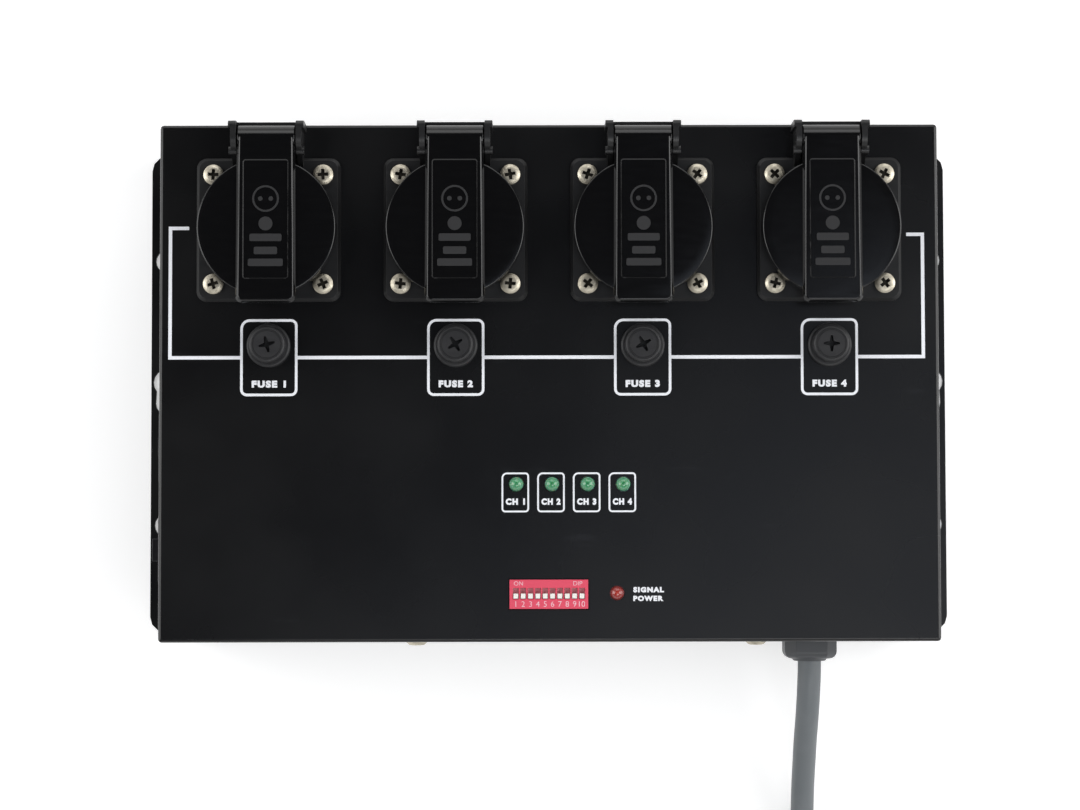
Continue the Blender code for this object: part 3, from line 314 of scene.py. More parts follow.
@dataclass(frozen=True)
class Sheath(Finish):
    """Extruded soft PVC of a mains lead: satin, with faint handling marks along it."""

    peel: float = 1.1 * MM
    depth: float = 0.03 * MM
    dusty: float = 12 * MM
    dust: str = "#7d8184"

    def detail(self, tree: Tree, shader: Node) -> None:
        """Add the extrusion's slight orange peel and dusty patches."""
        self.relief(tree, shader, self.noise(tree, self.peel), self.depth)
        patches = self.noise(tree, self.dusty, detail=6)
        self.tint(tree, shader, patches, self.dust, (0.5, 0.75), 0.4)
        self.gloss(tree, shader, patches, (0.3, 0.7), (-0.05, 0.08))


@dataclass(frozen=True)
class Banded(Finish):
    """Surface with fine straight bands across one or two axes, such as threads or stacked sheets."""

    width: float = 0.8 * MM
    depth: float = 0.05 * MM
    directions: str = "XY"
    other: str = "#1c4a2a"

    def detail(self, tree: Tree, shader: Node) -> None:
        """Tint and raise the bands, multiplied where two sets cross."""
        place = add_node(tree, "ShaderNodeTexCoord").outputs["Object"]
        inputs = {"Vector": place, "Scale": math.tau / 20 / self.width}
        pattern = None
        for direction in self.directions:
            bands = add_node(tree, "ShaderNodeTexWave", inputs, bands_direction=direction).outputs["Fac"]
            if pattern:
                bands = add_node(tree, MATH, {0: pattern, 1: bands}, operation="MULTIPLY").outputs[0]
            pattern = bands
        self.tint(tree, shader, pattern, self.other)
        self.relief(tree, shader, pattern, self.depth)


# Textured black powder coat: hides dust and gives the panel a broad grey sheen towards the light.
COAT = PowderCoat("powder_coat_black", "#060607", 0.27, "powder_coat")
# Black polyamide of the sockets: deep black, glossy enough for thin bright edges.
SOCKET_BLACK = Moulding("polyamide_gloss_black", "#0a0a0b", 0.14, "socket_plastic", wear=0.05)
# The same polyamide from a textured mould, as on the flange around the lid.
FLANGE_BLACK = Moulding("polyamide_satin_black", "#121213", 0.36, "socket_plastic", grain=0.7 * MM)
# The lids' raised marks, left matt by the spark-eroded mould.
MARK_BLACK = Moulding(
    "polyamide_matt_black", "#1a1a1c", 0.6, "socket_plastic", grain=0.3 * MM, depth=0.02 * MM
)
# Painted shade in the small switch's slots: a pale, greyed pink copy of the switch's red, set on the slots'
# floors; matt.
SLOT_RED = Moulding("pbt_red_shaded", "#d09aa2", 0.6, "switch_red")
# Black phenolic of the fuse holders: greyer and duller than the sockets.
PHENOLIC = Moulding("phenolic_black", "#1b1b1d", 0.42, "fuse_plastic", wear=0.12)
# Nickel-plated steel screws: a warm pale grey with dull spots.
NICKEL = Plating("nickel_plated_steel", "#ccc5b4", 0.44, "nickel", 1.0)
# Painted shade deep in the screws' recesses: the plating made dark and dull where little light reaches.
RECESS_SHADE = Plating("recess_shade", "#36322b", 0.6, None, 0.6, dull="#1f1c18")
# Bright drawn steel of the earth clips and the board's posts.
STEEL = Plating("drawn_steel", "#b9bab8", 0.32, None, 1.0, dull="#77776f")
# Blackened steel of the hinge pins.
PIN_BLACK = Plating("blackened_pin_steel", "#242426", 0.40, "pin_steel", 1.0, dull="#161617")
# Gold-flashed contacts: yellow and clean.
GOLD = Plating("gold_flashed_brass", "#d8b466", 0.25, None, 1.0, dull="#9a7a3a")
# Brass plug pins, nickel plated.
PLUG_PIN = Plating("nickel_plated_brass", "#d0cbbd", 0.25, "nickel", 1.0)
# White epoxy screen ink of the panel's frames, lines and labels.
INK = ScreenInk("screen_ink_white", "#eef0f5", 0.55)
# White pad print on the small switch, thinner than the panel's ink.
PAD_INK = ScreenInk("pad_print_white", "#f0d0d7", 0.55, thin="#e8b7c1")
# Green diffusing epoxy of the channel lamps, painted darker at the middle and paler at the rim as shade and
# highlight.
GREEN_EPOXY = DyedEpoxy("green_epoxy", "#3f9462", 0.22, "green_lamp", rim="#64a07d", core="#30764c")
# Red diffusing epoxy of the signal lamp, painted brighter at the middle and darker at the rim as highlight
# and shade.
RED_EPOXY = DyedEpoxy("red_epoxy", "#9c2a23", 0.22, "red_lamp", rim="#7c1f1a", core="#b04536")
# Red PBT of the DIP switch: bright and slightly pink where light grazes it.
SWITCH_RED = Moulding("pbt_red", "#dd4b63", 0.45, "switch_red")
# White PBT of the levers.
SWITCH_WHITE = Moulding("pbt_white", "#f0eee8", 0.45, "switch_white")
# Green glass-cloth laminate of the circuit boards: crossed threads under resin.
LAMINATE = Banded("glass_cloth_laminate", "#2f7044", 0.35, "laminate")
# Blue PBT relay cases.
RELAY_BLUE = Moulding("pbt_blue", "#1f4f9c", 0.35, "relay_case")
# Varnished silicon steel of the transformer's core: thin dark joints between bright sheet edges.
CORE = Banded(
    "varnished_core", "#7b736a", 0.45, "transformer_core", 0.6,
    width=0.6 * MM, depth=0.1 * MM, directions="Y", other="#2b2622",
)
# Black-chromed die-cast shells of the signal connectors: satin and nearly neutral.
SHELL = Plating("black_chrome_zinc", "#2a2a2c", 0.38, "connector_black", 0.7, dull="#1a1a1b")
# Latch of the output connector, black-chromed like its shell.
LATCH = Plating("black_chrome_latch", "#2c2c2e", 0.42, "latch_metal", 1.0, dull="#1b1b1d")
# Blackened steel of the connectors' screws.
BLACK_STEEL = Plating("blackened_steel", "#2b2b2d", 0.42, "connector_black", 1.0, dull="#19191a")
# Dark grey nylon of the strain relief: satin, with pale edges where it catches the light.
NYLON = Moulding("nylon_dark_grey", "#46484b", 0.42, "bushing_grey")
# Grey soft PVC of the mains lead.
LEAD = Sheath("pvc_lead_grey", "#6c7174", 0.45, "cord_sheath")
# Black moulded rubber plug.
PLUG = Moulding("rubber_black", "#202022", 0.55, "plug_rubber", grain=0.8 * MM, depth=0.02 * MM)
# Clear fuse glass.
FUSE_GLASS = Glass("fuse_glass_clear", "#f2f6f4", 0.03, "fuse_glass", 0.0, 1.47)
# Black woven hook-and-loop band around the coil.
BAND = Banded("woven_band_black", "#1c1c1e", 0.8, None, width=1.0 * MM, other="#3a3a3d")
# Black rubber gasket in the lids.
GASKET = Moulding("epdm_gasket", "#161617", 0.7, None)


def arc(centre: Point, radius: float, start: float, end: float, steps: int) -> list[Point]:
    """Return points on an arc.

    Args:
        centre: Middle of the arc.
        radius: Radius of the arc.
        start: First angle in degrees.
        end: Last angle in degrees.
        steps: Number of pieces of the arc.

    Returns:
        The points from the first angle to the last.
    """
    points = []
    for step in range(steps + 1):
        angle = math.radians(start + (end - start) * step / steps)
        points.append((centre[0] + radius * math.cos(angle), centre[1] + radius * math.sin(angle)))
    return points


def rounded(
    width: float, height: float, radius: float, first: Optional[float] = None, steps: int = 6
) -> list[Point]:
    """Return a rectangle's outline with round corners, counter-clockwise from its right side.

    Args:
        width: Size along X.
        height: Size along Y.
        radius: Corner radius.
        first: Radius of the upper left corner where it differs.
        steps: Pieces of each corner.

    Returns:
        The outline's points.
    """
    points = []
    corners = ((1, 1, 0), (-1, 1, 90), (-1, -1, 180), (1, -1, 270))
    for side, end, turn in corners:
        size = first if first is not None and (side, end) == (-1, 1) else radius
        centre = (side * (width / 2 - size), end * (height / 2 - size))
        points += arc(centre, size, turn, turn + 90, steps)
    return points


def circle(radius: float, steps: int = 64) -> list[Point]:
    """Return a circle's points."""
    return arc((0, 0), radius, 0, 360, steps)[:-1]


def edge_round(radius: float, high: float, size: float, steps: int = 4) -> list[Point]:
    """Return profile points that round an outer upper edge by a size, from the top face down."""
    return arc((radius - size, high - size), size, 90, 0, steps)


def loft(layers: Sequence[tuple[Sequence[Point], float]]) -> Shape:
    """Return a closed shape through outlines of the same number of points, from the lowest up.

    Args:
        layers: Counter-clockwise outlines, each with its height.

    Returns:
        The shape, capped at both ends.
    """
    shape = bmesh.new()
    rings = [[shape.verts.new((x, y, z)) for x, y in outline] for outline, z in layers]
    shape.faces.new(reversed(rings[0]))
    shape.faces.new(rings[-1])
    for lower, upper in zip(rings, rings[1:]):
        count = len(lower)
        for index in range(count):
            after = (index + 1) % count
            shape.faces.new((lower[index], lower[after], upper[after], upper[index]))
    return shape


def slab(outline: Sequence[Point], low: float, high: float) -> Shape:
    """Return a straight-sided shape between two heights."""
    return loft([(outline, low), (outline, high)])


def slab_x(outline: Sequence[Point], left: float, right: float) -> Shape:
    """Return a straight-sided shape between two X values from an outline in Y and Z."""
    return placed(slab(outline, left, right), along_x())


def block(width: float, height: float, low: float, high: float, centre: Point = (0.0, 0.0)) -> Shape:
    """Return a box centred on a point between two heights."""
    corners = ((1, 1), (-1, 1), (-1, -1), (1, -1))
    outline = [(centre[0] + side * width / 2, centre[1] + end * height / 2) for side, end in corners]
    return slab(outline, low, high)


def pillar(radius: float, low: float, high: float, steps: int, centre: Point = (0.0, 0.0)) -> Shape:
    """Return an upright round bar around a point between two heights."""
    return placed(slab(circle(radius, steps), low, high), at(*centre))


def lathe(profile: Sequence[Point], steps: int = 64) -> Shape:
    """Turn a profile about Z into a closed shape.

    Args:
        profile: Radius and height of each point, from the top of the outside down.
        steps: Number of sides.

    Returns:
        The shape, with its faces pointing out.
    """
    shape = bmesh.new()
    rings = []
    for radius, height in profile:
        points = circle(radius, steps) if radius > 0 else [(0.0, 0.0)]
        rings.append([shape.verts.new((x, y, height)) for x, y in points])
    for upper, lower in zip(rings, rings[1:] + rings[:1]):
        for index in range(steps):
            after = (index + 1) % steps
            corners = [upper[index % len(upper)], lower[index % len(lower)]]
            corners += [lower[after % len(lower)], upper[after % len(upper)]]
            distinct = list(dict.fromkeys(corners))
            if len(distinct) > 2:
                shape.faces.new(distinct)
    bmesh.ops.remove_doubles(shape, verts=shape.verts, dist=SAME_POINT)
    bmesh.ops.recalc_face_normals(shape, faces=shape.faces)
    return shape


def rod(radius: float, half: float, edge: float, steps: int) -> Shape:
    """Return a bar along X around the origin, half to each side, with rounded ends."""
    upper = edge_round(radius, half, edge)
    lower = [(reach, -height) for reach, height in reversed(upper)]
    return placed(lathe([(0.0, half)] + upper + lower + [(0.0, -half)], steps), along_x())


def band(outer: Sequence[Point], inner: Sequence[Point], low: float, high: float) -> Shape:
    """Return a flat closed ring between two outlines of the same number of points."""
    shape = bmesh.new()
    levels = [[shape.verts.new((x, y, z)) for x, y in line] for line in (outer, inner) for z in (low, high)]
    outer_low, outer_high, inner_low, inner_high = levels
    loop = (outer_low, outer_high, inner_high, inner_low, outer_low)
    count = len(outer)
    for index in range(count):
        after = (index + 1) % count
        for first, second in zip(loop, loop[1:]):
            shape.faces.new((first[index], first[after], second[after], second[index]))
    return shape


def placed(shape: Shape, place: Matrix) -> Shape:
    """Move a shape by a matrix and return it."""
    bmesh.ops.transform(shape, matrix=place, verts=shape.verts)
    return shape


def at(x: float = 0.0, y: float = 0.0, z: float = 0.0) -> Matrix:
    """Return the matrix of a shift."""
    return Matrix.Translation((x, y, z))


def along_x() -> Matrix:
    """Return the matrix that lays a shape's own Z along +X, its X along +Y and its Y along +Z."""
    return Matrix(((0, 0, 1, 0), (1, 0, 0, 0), (0, 1, 0, 0), (0, 0, 0, 1)))


def joined(shapes: Sequence[Shape]) -> Shape:
    """Put separate shapes into one and free them."""
    whole = bmesh.new()
    for shape in shapes:
        part = bpy.data.meshes.new("part")
        shape.to_mesh(part)
        shape.free()
        whole.from_mesh(part)
        bpy.data.meshes.remove(part)
    return whole


def plain_object(shape: Shape, name: str = "working_shape") -> bpy.types.Object:
    """Turn a shape into a linked object and free the shape."""
    mesh = bpy.data.meshes.new(name)
    shape.to_mesh(mesh)
    shape.free()
    item = bpy.data.objects.new(name, mesh)
    bpy.context.collection.objects.link(item)
    return item


def evaluated_mesh(item: bpy.types.Object) -> bpy.types.Mesh:
    """Return an object's mesh with its modifiers applied."""
    bpy.context.view_layer.update()
    graph = bpy.context.evaluated_depsgraph_get()
    return bpy.data.meshes.new_from_object(item.evaluated_get(graph))


class Operation(Enum):
    """What an exact Boolean does with its second shape, under Blender's name for it."""

    UNITE = "UNION"
    CUT = "DIFFERENCE"


def combined(first: Shape, second: Shape, operation: Operation) -> Shape:
    """Return the exact Boolean of two closed shapes, which are freed.

    Args:
        first: The shape that is kept.
        second: The shape that is joined to it or cut from it.
        operation: Which of the two.

    Returns:
        The new shape.
    """
    base = plain_object(first)
    tool = plain_object(second)
    modifier = base.modifiers.new("join", "BOOLEAN")
    modifier.operation = operation.value
    modifier.solver = "EXACT"
    modifier.use_self = True
    modifier.object = tool
    mesh = evaluated_mesh(base)
    result = bmesh.new()
    result.from_mesh(mesh)
    for item in (base, tool):
        bpy.data.objects.remove(item)
    bpy.data.meshes.remove(mesh)
    return result


def united(shape: Shape, *parts: Shape) -> Shape:
    """Return a shape with closed parts joined to it one after another."""
    for part in parts:
        shape = combined(shape, part, Operation.UNITE)
    return shape


def lettering(
    words: str, height: float, width: Optional[float] = None, weight: float = 0.02, spacing: float = 1.0
) -> Shape:
    """Return words as a thin flat shape centred on the origin.

    Args:
        words: What is written.
        height: Height of the capitals in metres.
        width: Width of the whole line in metres, or none for the letters' own width.
        weight: How much the strokes are fattened, as a share of the type size.
        spacing: Distance between letters, as a factor of the font's own.

    Returns:
        The letters' shape, with its lower side at height 0.
    """
    curve = bpy.data.curves.new("words", "FONT")
    curve.body = words
    curve.offset = weight
    curve.space_character = spacing
    curve.extrude = PRINT_THICKNESS / 2
    curve.resolution_u = 3
    item = bpy.data.objects.new("words", curve)
    bpy.context.collection.objects.link(item)
    mesh = evaluated_mesh(item)
    bpy.data.objects.remove(item)
    shape = bmesh.new()
    shape.from_mesh(mesh)
    bmesh.ops.remove_doubles(shape, verts=shape.verts, dist=10 * SAME_POINT)
    xs = [vertex.co.x for vertex in shape.verts]
    ys = [vertex.co.y for vertex in shape.verts]
    tall = height / (max(ys) - min(ys))
    wide = width / (max(xs) - min(xs)) if width else tall
    middle = at(-(max(xs) + min(xs)) / 2, -(max(ys) + min(ys)) / 2, PRINT_THICKNESS / 2)
    return placed(placed(shape, middle), Matrix.Diagonal((wide, tall, 1, 1)))


def dressed(
    name: str,
    shape: Shape,
    finish: Finish,
    body: str = CASE,
    replaces: Sequence[str] = (),
    bevel: float = 0.0,
    accent: Optional[Finish] = None,
) -> bpy.types.Object:
    """Make a finished piece from a shape that is already in its place.

    Args:
        name: The piece's name.
        shape: Its shape, which is freed.
        finish: Its finish.
        body: The body that it moves with.
        replaces: CAD nodes that it stands for.
        bevel: Width of the rounding on its sharp edges, 0 for none.
        accent: Finish of the faces that the shape marks as its second material, such as the painted shade in
            screw recesses.

    Returns:
        The piece.
    """
    item = plain_object(shape, name)
    item.data.materials.append(finish.material())
    if accent:
        item.data.materials.append(accent.material())
    item.data.shade_smooth()
    item.data.set_sharp_from_angle(angle=SMOOTH_ANGLE)
    if bevel:
        modifier = item.modifiers.new("soft_edges", "BEVEL")
        modifier.width = bevel
        modifier.segments = 2
        modifier.limit_method = "ANGLE"
        modifier.angle_limit = SMOOTH_ANGLE
    evened = item.modifiers.new("flat_faces", "WEIGHTED_NORMAL")
    evened.keep_sharp = True
    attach(item, body)
    if replaces:
        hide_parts(*replaces)
    LOG.info("%s: %d faces on %s", name, len(item.data.polygons), body)
    return item


def centre_of(box: Box) -> Vector:
    """Return the middle of a box."""
    return (box[0] + box[1]) / 2


def body_of(node: str) -> str:
    """Return the name of the body that carries a CAD node."""
    for name, nodes in frame["record"]["behaviour"]["bodies"].items():
        if node in nodes:
            return name
    return CASE


def refined(node: str, finish: Finish, bevel: float = 0.0) -> bpy.types.Object:
    """Dress a merged, smooth-shaded copy of a CAD node that stands for the node.

    Args:
        node: The CAD node's name.
        finish: The copy's finish.
        bevel: Width of the rounding on its sharp edges, 0 for none.

    Returns:
        The piece.
    """
    shape = bmesh.new()
    shape.from_mesh(frame["nodes"][node].data)
    bmesh.ops.remove_doubles(shape, verts=shape.verts, dist=SAME_POINT)
    bmesh.ops.dissolve_limit(shape, angle_limit=math.radians(0.5), verts=shape.verts, edges=shape.edges)
    return dressed(f"{node}_finish", shape, finish, body_of(node), [node], bevel)


def node_group(name: str, kinds: dict[str, str]) -> tuple[Tree, Any]:
    """Start a Geometry Nodes tree with named inputs.

    Args:
        name: The tree's name.
        kinds: Each named input with its kind, such as Float.

    Returns:
        The tree and the outputs of its input node.
    """
    tree = bpy.data.node_groups.new(name, "GeometryNodeTree")
    for side in ("INPUT", "OUTPUT"):
        tree.interface.new_socket("Geometry", in_out=side, socket_type="NodeSocketGeometry")
    for title, kind in kinds.items():
        tree.interface.new_socket(title, in_out="INPUT", socket_type=f"NodeSocket{kind}")
    return tree, add_node(tree, "NodeGroupInput").outputs


def grown(mesh: bpy.types.Mesh, tree: Tree, values: dict[str, Any]) -> bpy.types.Mesh:
    """Run a Geometry Nodes tree on a mesh and turn its result into a plain mesh.

    Args:
        mesh: The mesh that the tree is given.
        tree: The tree.
        values: Value of each named input.

    Returns:
        The result, with its materials.
    """
    item = bpy.data.objects.new(tree.name, mesh)
    bpy.context.collection.objects.link(item)
    modifier = item.modifiers.new(tree.name, "NODES")
    modifier.node_group = tree
    for socket in tree.interface.items_tree:
        if socket.name in values:
            modifier[socket.identifier] = values[socket.name]
    result = evaluated_mesh(item)
    bpy.data.objects.remove(item)
    return result


@dataclass(frozen=True)
class ScrewSet:
    """Cross-recess screws of one size, set by Geometry Nodes on points that hold their outward direction."""

    head_radius: float
    head_height: float
    shank_radius: float
    shank_length: float
    recess_length: float = 3.9 * MM
    recess_width: float = 0.85 * MM
    recess_depth: float = 1.1 * MM
    crown: float = 0.45
    crown_power: float = 6.0
    bright_share: float = 0.2
    shade_share: float = 0.56
    shade_low: float = 0.05 * MM

    def sizes(self) -> dict[str, float]:
        """Return the tree's named sizes in metres, and the crown's height as a share of the head's."""
        return {
            "Head radius": self.head_radius,
            "Head height": self.head_height,
            "Crown": self.crown,
            "Shank radius": self.shank_radius,
            "Shank length": self.shank_length,
            "Recess length": self.recess_length,
            "Recess width": self.recess_width,
            "Recess depth": self.recess_depth,
        }

    def tree(self) -> Tree:
        """Return the node tree: a crowned head with its recess and shank, on every point."""
        kinds = dict.fromkeys(self.sizes(), "Float")
        kinds |= {"Seed": "Int", "Finish": "Material", "Recess shade": "Material"}
        tree, given = node_group("screws", kinds)
        sides = {"Mesh 1": self.crowned_head(tree, given), "Mesh 2": self.recess_bars(tree, given)}
        sides["Self Intersection"] = True
        head = add_node(tree, "GeometryNodeMeshBoolean", sides, operation="DIFFERENCE", solver="EXACT")
        marked = {"Geometry": head, "Name": "sunk", "Value": self.in_recess(tree, given)}
        head = add_node(tree, "GeometryNodeStoreNamedAttribute", marked, data_type="BOOLEAN", domain="FACE")
        size = {"Vertices": 16, "Radius": given["Shank radius"], "Depth": given["Shank length"]}
        bar = add_node(tree, "GeometryNodeMeshCylinder", size)
        below = add_node(tree, MATH, {0: given["Shank length"], 1: -0.5}, operation="MULTIPLY")
        down = add_node(tree, "ShaderNodeCombineXYZ", {"Z": below})
        shank = add_node(tree, "GeometryNodeTransform", {"Geometry": bar, "Translation": down})
        screw = add_node(tree, "GeometryNodeJoinGeometry", {0: [head, shank]})
        aim = {"Name": "outward"}
        aim = add_node(tree, "GeometryNodeInputNamedAttribute", aim, data_type="FLOAT_VECTOR")
        facing = add_node(tree, "FunctionNodeAlignRotationToVector", {"Vector": aim}, axis="Z")
        share = add_node(tree, "FunctionNodeRandomValue", {"Seed": given["Seed"]}, data_type="FLOAT")
        turn = add_node(tree, MATH, {0: share.outputs[1], 1: math.tau}, operation="MULTIPLY")
        angle = add_node(tree, "ShaderNodeCombineXYZ", {"Z": turn})
        spun = add_node(tree, "FunctionNodeEulerToRotation", {0: angle})
        rotation = add_node(tree, "FunctionNodeRotateRotation", {0: facing, 1: spun}, rotation_space="LOCAL")
        inputs = {"Points": given["Geometry"], "Instance": screw, "Rotation": rotation}
        spread = add_node(tree, "GeometryNodeInstanceOnPoints", inputs)
        whole = add_node(tree, "GeometryNodeRealizeInstances", {0: spread})
        coated = add_node(tree, "GeometryNodeSetMaterial", {"Geometry": whole, "Material": given["Finish"]})
        sunk = add_node(tree, "GeometryNodeInputNamedAttribute", {"Name": "sunk"}, data_type="BOOLEAN")
        # Painted shade: the recess's walls and floor take the dark recess material
        shaded = {"Geometry": coated, "Selection": sunk, "Material": given["Recess shade"]}
        add_node(tree, "NodeGroupOutput", {0: add_node(tree, "GeometryNodeSetMaterial", shaded)})
        return tree

    def reach_and_height(self, tree: Tree) -> tuple[Socket, Socket]:
        """Add the sockets of each point's distance from the screw's axis and of its height."""
        place = add_node(tree, "ShaderNodeSeparateXYZ", {0: add_node(tree, "GeometryNodeInputPosition")})
        flat = add_node(tree, "ShaderNodeCombineXYZ", {"X": place.outputs[0], "Y": place.outputs[1]})
        reach = add_node(tree, "ShaderNodeVectorMath", {0: flat}, operation="LENGTH")
        return reach.outputs["Value"], place.outputs[2]

    def in_recess(self, tree: Tree, given: Any) -> Node:
        """Add the test for the recess's walls and floor, below the head's top and near its axis.

        Args:
            tree: The screws' tree.
            given: Outputs of the group's input node.

        Returns:
            The node that gives 1 on those faces and 0 elsewhere.
        """
        reach, height = self.reach_and_height(tree)
        top = {0: given["Recess depth"], 1: -self.bright_share, 2: given["Head height"]}
        top = add_node(tree, MATH, top, operation="MULTIPLY_ADD")
        rim = add_node(tree, MATH, {0: given["Recess length"], 1: self.shade_share}, operation="MULTIPLY")
        is_low = add_node(tree, MATH, {0: height, 1: top}, operation="LESS_THAN")
        is_near = add_node(tree, MATH, {0: reach, 1: rim}, operation="LESS_THAN")
        is_high = add_node(tree, MATH, {0: height, 1: self.shade_low}, operation="GREATER_THAN")
        both = add_node(tree, MATH, {0: is_low, 1: is_near}, operation="MULTIPLY")
        return add_node(tree, MATH, {0: both, 1: is_high}, operation="MULTIPLY")

    def crowned_head(self, tree: Tree, given: Any) -> Node:
        """Add the head: a cylinder whose upper rings are pulled down towards its rim.

        Args:
            tree: The screws' tree.
            given: Outputs of the group's input node.

        Returns:
            The head's node.
        """
        size = {"Vertices": 32, "Side Segments": 2, "Fill Segments": 5}
        size |= {"Radius": given["Head radius"], "Depth": given["Head height"]}
        head = add_node(tree, "GeometryNodeMeshCylinder", size)
        reach, height = self.reach_and_height(tree)
        share = add_node(tree, MATH, {0: reach, 1: given["Head radius"]}, operation="DIVIDE")
        steep = add_node(tree, MATH, {0: share, 1: self.crown_power}, operation="POWER")
        drop = add_node(tree, MATH, {0: steep, 1: given["Head height"]}, operation="MULTIPLY")
        sunk = add_node(tree, MATH, {0: drop, 1: given["Crown"]}, operation="MULTIPLY")
        is_upper = add_node(tree, MATH, {0: height, 1: 0.0}, operation="GREATER_THAN")
        fall = add_node(tree, MATH, {0: sunk, 1: is_upper}, operation="MULTIPLY")
        half = add_node(tree, MATH, {0: given["Head height"], 1: 0.5}, operation="MULTIPLY")
        rise = add_node(tree, MATH, {0: half, 1: fall}, operation="SUBTRACT")
        offset = add_node(tree, "ShaderNodeCombineXYZ", {"Z": rise})
        return add_node(tree, "GeometryNodeSetPosition", {"Geometry": head, "Offset": offset})

    def recess_bars(self, tree: Tree, given: Any) -> list[Node]:
        """Add the two crossed bars that cut the recess, centred on the head's top.

        Args:
            tree: The screws' tree.
            given: Outputs of the group's input node.

        Returns:
            The bars' nodes.
        """
        double = add_node(tree, MATH, {0: given["Recess depth"], 1: 2.0}, operation="MULTIPLY")
        sides = (given["Recess length"], given["Recess width"])
        lift = add_node(tree, "ShaderNodeCombineXYZ", {"Z": given["Head height"]})
        bars = []
        for along, across in (sides, sides[::-1]):
            size = add_node(tree, "ShaderNodeCombineXYZ", {"X": along, "Y": across, "Z": double})
            bar = add_node(tree, "GeometryNodeMeshCube", {"Size": size})
            bars.append(add_node(tree, "GeometryNodeTransform", {"Geometry": bar, "Translation": lift}))
        return bars

    def build(self, seats: Sequence[tuple[Vector, Vector]], finish: Finish, seed: int = 4) -> Shape:
        """Return the screws as one plain shape, with the recesses marked as its second material for their
        painted shade.

        Args:
            seats: For each screw, where its head sits and which way it points.
            finish: The screws' finish.
            seed: Seed of the screws' turns.

        Returns:
            The shape of all the screws.
        """
        mesh = bpy.data.meshes.new("seats")
        mesh.from_pydata([seat for seat, _ in seats], [], [])
        outward = mesh.attributes.new("outward", "FLOAT_VECTOR", "POINT")
        for value, (_, aim) in zip(outward.data, seats):
            value.vector = aim
        shade = RECESS_SHADE.material()
        values = self.sizes() | {"Seed": seed, "Finish": finish.material(), "Recess shade": shade}
        result = grown(mesh, self.tree(), values)
        shape = bmesh.new()
        shape.from_mesh(result)
        for face in shape.faces:
            face.material_index = int(result.materials[face.material_index] == shade)
        bmesh.ops.remove_doubles(shape, verts=shape.verts, dist=SAME_POINT)
        return shape


# Pan-head screws that hold the cover to the base
COVER_SCREW = ScrewSet(
    head_radius=3.7 * MM,
    head_height=2.5 * MM,
    shank_radius=2.0 * MM,
    shank_length=7.5 * MM,
)
# Low, wide-recess screws of the panel sockets
SOCKET_SCREW = ScrewSet(
    head_radius=3.5 * MM,
    head_height=1.9 * MM,
    shank_radius=1.4 * MM,
    shank_length=3.0 * MM,
    recess_length=3.7 * MM,
    recess_width=1.15 * MM,
    recess_depth=1.7 * MM,
    crown=0.35,
)
# Small sunk screws of the signal connectors
SIGNAL_SCREW = ScrewSet(
    head_radius=2.3 * MM,
    head_height=1.4 * MM,
    shank_radius=1.4 * MM,
    shank_length=4.5 * MM,
    recess_length=3.0 * MM,
    recess_width=0.7 * MM,
    recess_depth=0.8 * MM,
)


@dataclass(frozen=True)
class RibRing:
    """Equal ribs round an axis, made by a Geometry Nodes tree, as on a moulded grip."""

    count: int
    radius: float
    rib: Triple

    def tree(self) -> Tree:
        """Return the node tree: one bar on every point of a circle, turned to face outwards."""
        kinds = {"Rib count": "Int", "Ring radius": "Float", "Rib size": "Vector", "Finish": "Material"}
        tree, given = node_group("rib_ring", kinds)
        inputs = {"Vertices": given["Rib count"], "Radius": given["Ring radius"]}
        ring = add_node(tree, "GeometryNodeMeshCircle", inputs)
        place = add_node(tree, "GeometryNodeInputPosition")
        facing = add_node(tree, "FunctionNodeAlignRotationToVector", {"Vector": place}, axis="X")
        bar = add_node(tree, "GeometryNodeMeshCube", {"Size": given["Rib size"]})
        inputs = {"Points": ring, "Instance": bar, "Rotation": facing}
        spread = add_node(tree, "GeometryNodeInstanceOnPoints", inputs)
        whole = add_node(tree, "GeometryNodeRealizeInstances", {0: spread})
        coated = add_node(tree, "GeometryNodeSetMaterial", {"Geometry": whole, "Material": given["Finish"]})
        add_node(tree, "NodeGroupOutput", {0: coated})
        return tree

    def build(self, finish: Finish) -> Shape:
        """Return the ribs as one plain shape around Z, at height 0, in a finish."""
        values = {"Rib count": self.count, "Ring radius": self.radius, "Rib size": Vector(self.rib)}
        values["Finish"] = finish.material()
        shape = bmesh.new()
        shape.from_mesh(grown(bpy.data.meshes.new("ribs"), self.tree(), values))
        return shape


@dataclass
class Housing:
    """Folded cover, back plate with its mounting ears, and the screws in the long walls."""

    def dress(self) -> None:
        """Dress the sheet-metal parts and set the cover's screws."""
        refined("cover", COAT)
        refined("base_plate", COAT)
        names = [f"cover_screw_{number}" for number in range(1, 5)]
        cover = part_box("cover")
        seats = []
        for name in names:
            middle = centre_of(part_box(name))
            side = 1 if middle.y > 0 else -1
            wall = cover[1].y if side > 0 else cover[0].y
            seats.append((Vector((middle.x, wall, middle.z)), Vector((0, side, 0))))
        screws = COVER_SCREW.build(seats, NICKEL)
        dressed("cover_screws", screws, NICKEL, CASE, names, accent=RECESS_SHADE)


@dataclass(frozen=True)
class LabelFrame:
    """One kind of printed frame with round corners, the upper left one larger, and its label."""

    size: Point
    line: float
    corner: float
    first_corner: float
    middle: float
    label_size: Point
    label_drop: float
    shift: float = 0.0

    def outline(self, x: float) -> Shape:
        """Return the frame around the panel's feature at an X value."""
        width, height = self.size
        outer = rounded(width, height, self.corner, self.first_corner)
        corners = (self.corner - self.line, self.first_corner - self.line)
        inner = rounded(width - 2 * self.line, height - 2 * self.line, *corners)
        return placed(band(outer, inner, 0, PRINT_THICKNESS), at(x + self.shift, self.middle))

    def label(self, words: str, x: float) -> Shape:
        """Return the label in the frame's lower part."""
        width, height = self.label_size
        text = lettering(words, height, width, PANEL_TYPE_WEIGHT, PANEL_TYPE_SPACING)
        return placed(text, at(x + self.shift, self.middle - self.label_drop))


